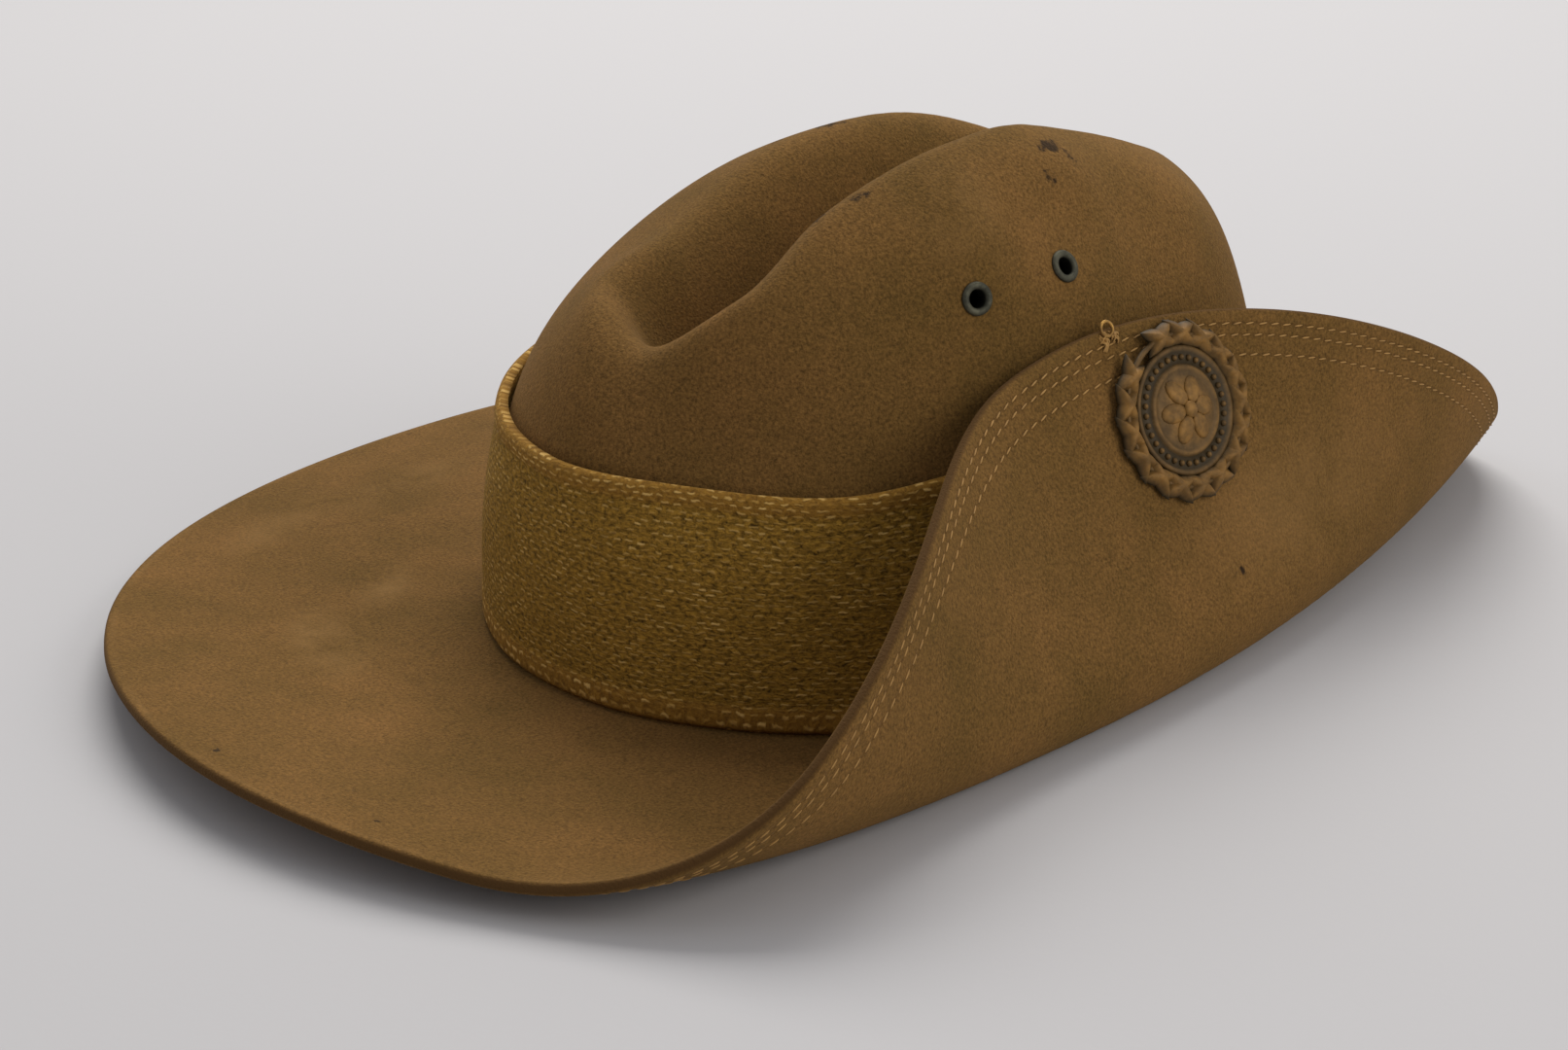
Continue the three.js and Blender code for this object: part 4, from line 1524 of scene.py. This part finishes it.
    def flower(self, bm: bmesh.types.BMesh) -> None:
        """Adds the rounded petals and the button of the flower on the boss.

        Args:
            bm: the mesh that it is added to.
        """
        for i in range(self.petals):
            petal = bmesh.ops.create_uvsphere(bm, u_segments=14, v_segments=10, radius=1)["verts"]
            bmesh.ops.scale(bm, vec=self.petal_half, verts=petal)
            for vert in petal:
                vert.co.z *= 1 - 0.3 * math.exp(-((vert.co.x / 0.5) ** 2))
            lean = Matrix.Rotation(math.radians(-self.petal_lean), 3, "X")
            bmesh.ops.rotate(bm, verts=petal, matrix=lean)
            bmesh.ops.translate(bm, verts=petal, vec=self.petal_place)
            turn = Matrix.Rotation(2 * math.pi * i / self.petals, 3, "Z")
            bmesh.ops.rotate(bm, verts=petal, matrix=turn)
        button = bmesh.ops.create_uvsphere(
            bm, u_segments=16, v_segments=10, radius=self.button_radius
        )["verts"]
        bmesh.ops.scale(bm, vec=(1, 1, self.button_flat), verts=button)
        bmesh.ops.translate(bm, verts=button, vec=(0, 0, self.button_height))


@dataclass
class BrimHook:
    """The small brass wire loop at the edge of the turned-up side and the thread that holds it."""

    shape: HatShape
    turn: float = 91.5
    radius: float = 1.7
    wire: float = 0.4
    lap: float = 1.4
    clearance: float = 0.3
    thread: float = 0.2
    strands: int = 18
    start_range: tuple = (-3.0, 2.6)
    foot_range: tuple = (1.2, 4.2)
    sway_range: tuple = (-1.6, 1.6)
    top_range: tuple = (-0.6, 0.6)

    def build(self) -> bpy.types.Object:
        """Makes the wire loop.

        Returns:
            The loop's object.
        """
        bm = bmesh.new()
        around = np.linspace(0, 2 * math.pi, 13)[:-1]
        ring = [(self.radius + self.wire * math.cos(a), self.wire * math.sin(a)) for a in around]
        turned_verts(bm, ring, 40)
        store = bm.verts.layers.float.new("raised")
        for vert in bm.verts:
            vert[store] = 1.0
        lift = self.radius + self.wire - self.lap
        bmesh.ops.translate(bm, verts=bm.verts, vec=(0, lift, self.wire + self.clearance))
        seat = self.shape.seat(self.turn, 3 - PROBE, Side.UNDER, 0)
        bmesh.ops.transform(bm, matrix=seat, verts=bm.verts)
        bmesh.ops.recalc_face_normals(bm, faces=bm.faces)
        return finish_mesh("hook_loop", bm)

    def sewing(self) -> bpy.types.Object:
        """Makes the tangle of hand-sewn thread that holds the loop to the brim's edge.

        Returns:
            The thread's object.
        """
        chance = np.random.default_rng(11)
        bm = bmesh.new()
        seat = self.shape.seat(self.turn, 3 - PROBE, Side.UNDER, 0)
        for _ in range(self.strands):
            start = chance.uniform(*self.start_range)
            foot = -chance.uniform(*self.foot_range)
            sway = chance.uniform(*self.sway_range) - start * 0.5
            top = chance.uniform(*self.top_range)
            path = []
            for share in np.linspace(0, 1, 9):
                over = math.sin(math.pi * min(share * 1.5, 1.0))
                x = start + sway * share
                y = foot * (1 - share) + top * share
                path.append(Vector((x + 0.4 * over, y, 0.1 + 1.3 * over * share + 0.3 * over)))
            self.strand(bm, path)
        bmesh.ops.transform(bm, matrix=seat, verts=bm.verts)
        bmesh.ops.recalc_face_normals(bm, faces=bm.faces)
        return finish_mesh("hook_thread", bm)

    def strand(self, bm: bmesh.types.BMesh, path: Sequence[Vector]) -> None:
        """Adds one strand of thread along a path.

        Args:
            bm: the mesh that it is added to.
            path: points along the strand, in the hook's own frame.
        """
        rings = []
        for i, point in enumerate(path):
            ahead = path[min(i + 1, len(path) - 1)] - path[max(i - 1, 0)]
            turn = ahead.to_track_quat("Z", "Y").to_matrix().to_4x4()
            made = bmesh.ops.create_circle(
                bm, segments=6, radius=self.thread, matrix=Matrix.Translation(point) @ turn
            )["verts"]
            rings.append(made)
        edges = [[e for v in ring for e in v.link_edges if e.other_vert(v) in ring] for ring in rings]
        for near, far in zip(edges, edges[1:]):
            bmesh.ops.bridge_loops(bm, edges=list(set(near)) + list(set(far)))
        for end in (edges[0], edges[-1]):
            bmesh.ops.contextual_create(bm, geom=list(set(end)))


@dataclass
class Studio:
    """Pale floor, soft lights and the camera of the photograph."""

    shape: HatShape
    azimuth: float = 44.08
    elevation: float = 21.35
    distance: float = 786.6
    target: tuple = (-6.57, -27.64, 27.76)
    focal_pixels: float = 3372.0
    sensor: float = 36.0
    floor_half_metres: float = 6.0

    def floor(self) -> bpy.types.Object:
        """Makes the wide flat floor.

        Returns:
            The floor's object.
        """
        bm = bmesh.new()
        bmesh.ops.create_grid(bm, x_segments=8, y_segments=8, size=self.floor_half_metres)
        return finish_mesh("floor", bm)

    def camera(self) -> bpy.types.Object:
        """Makes the camera at the photograph's place and makes it the scene's camera.

        Returns:
            The camera's object.
        """
        a, e = math.radians(self.azimuth), math.radians(self.elevation)
        back = np.array([math.sin(a) * math.cos(e), -math.cos(a) * math.cos(e), math.sin(e)])
        right = np.array([math.cos(a), math.sin(a), 0.0])
        up = np.cross(back, right)
        location = self.shape.to_frame(np.array(self.target) + back * self.distance, pressed=False)
        basis = self.shape.lean() @ np.stack([right, up, back], -1)
        data = bpy.data.cameras.new("camera")
        data.sensor_width = self.sensor
        data.lens = self.focal_pixels / PHOTO_WIDTH * self.sensor
        data.clip_start = 0.05
        data.clip_end = 20
        camera = bpy.data.objects.new("camera", data)
        turned = Matrix([list(row) for row in basis]).to_4x4()
        camera.matrix_world = Matrix.Translation(Vector(location * MM)) @ turned
        bpy.context.scene.collection.objects.link(camera)
        bpy.context.scene.camera = camera
        return camera

    def light(self, name: str, place: Vector, size: float, power: float, colour: str) -> None:
        """Adds a soft square light that looks at the hat.

        Args:
            name: the light's name.
            place: where it hangs, in metres.
            size: length of its sides, in metres.
            power: its power, in watts.
            colour: its colour as sRGB hex.
        """
        data = bpy.data.lights.new(name, "AREA")
        data.size = size
        data.energy = power
        data.color = linear(colour)[:3]
        lamp = bpy.data.objects.new(name, data)
        lamp.location = place
        lamp.rotation_euler = (Vector((0, 0, 0.05)) - place).to_track_quat("-Z", "Y").to_euler()
        bpy.context.scene.collection.objects.link(lamp)

    def build(self) -> None:
        """Builds floor, lights, world and camera."""
        floor = self.floor()
        floor.data.materials.append(PlainCloth("pale cotton cloth").material())
        self.light("skylight", Vector((-0.7, 0.75, 1.5)), 1.4, 29, "#fffdfa")
        self.light("window", Vector((1.5, 0.3, 0.8)), 1.0, 9, "#fffdfa")
        world = bpy.data.worlds.new("room")
        world.use_nodes = True
        tree = world.node_tree
        feed(tree, tree.nodes["Background"], {"Color": linear("#e8e9ee"), "Strength": 0.5})
        bpy.context.scene.world = world
        bpy.context.scene.view_settings.view_transform = "Standard"
        self.camera()


def dress(piece: bpy.types.Object, material: bpy.types.Material, slot: str, *nodes: str) -> None:
    """Gives a piece its material and hides the solids that it stands for.

    Args:
        piece: the piece.
        material: its material.
        slot: slot of the record that the material belongs to; not used.
        nodes: names of the solids that it replaces.
    """
    piece.data.materials.append(material)
    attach(piece, "root")
    if nodes:
        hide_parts(*nodes)
    log.info("%s: %d faces", piece.name, len(piece.data.polygons))


def main() -> None:
    """Builds the hat piece by piece."""
    logging.basicConfig(level=logging.INFO, format="%(message)s")
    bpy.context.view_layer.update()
    shape = HatShape()
    Studio(shape).build()

    eyelets = {
        "eyelet_left_front": Eyelet("rolled_eyelet_left_front", 67.0, 0.748, shape),
        "eyelet_left_rear": Eyelet("rolled_eyelet_left_rear", 85.5, 0.748, shape),
        "eyelet_right_front": Eyelet("rolled_eyelet_right_front", 293.0, 0.68, shape),
        "eyelet_right_rear": Eyelet("rolled_eyelet_right_rear", 274.5, 0.68, shape),
    }
    felt = FeltBody(shape).build()
    punch_holes(felt, list(eyelets.values()))
    dress(felt, FurFelt("blocked fur felt").material(), "felt", "felt_body")

    band = Puggaree(shape).build()
    dress(band, TwillCloth("coarse wool twill").material(), "band_cloth", "puggaree")

    thread = CottonThread("golden cotton thread").material()
    dress(BrimStitching(shape).build(), thread, "band_cloth")

    # The fourth colour given to each metal is the dark painted shade of its recesses.
    bronze = AgedMetal("tarnished bronze", "#5d5a49", "#3d3c31", "#12110d", 0.5, 0.7).material()
    for name, eyelet in eyelets.items():
        dress(eyelet.build(), bronze, "eyelet_metal", name)

    badge = Badge(shape).build()
    dress(badge, AgedMetal("oxidised cast brass").material(), "badge_metal", "badge")

    hook = BrimHook(shape)
    brass = AgedMetal("drawn brass wire", "#b98f4c", "#86663a", "#3a2b16", 0.35, 0.85).material()
    dress(hook.build(), brass, "hook_wire", "brim_hook")
    dress(hook.sewing(), thread, "hook_wire")


if __name__ == "__main__":
    main()
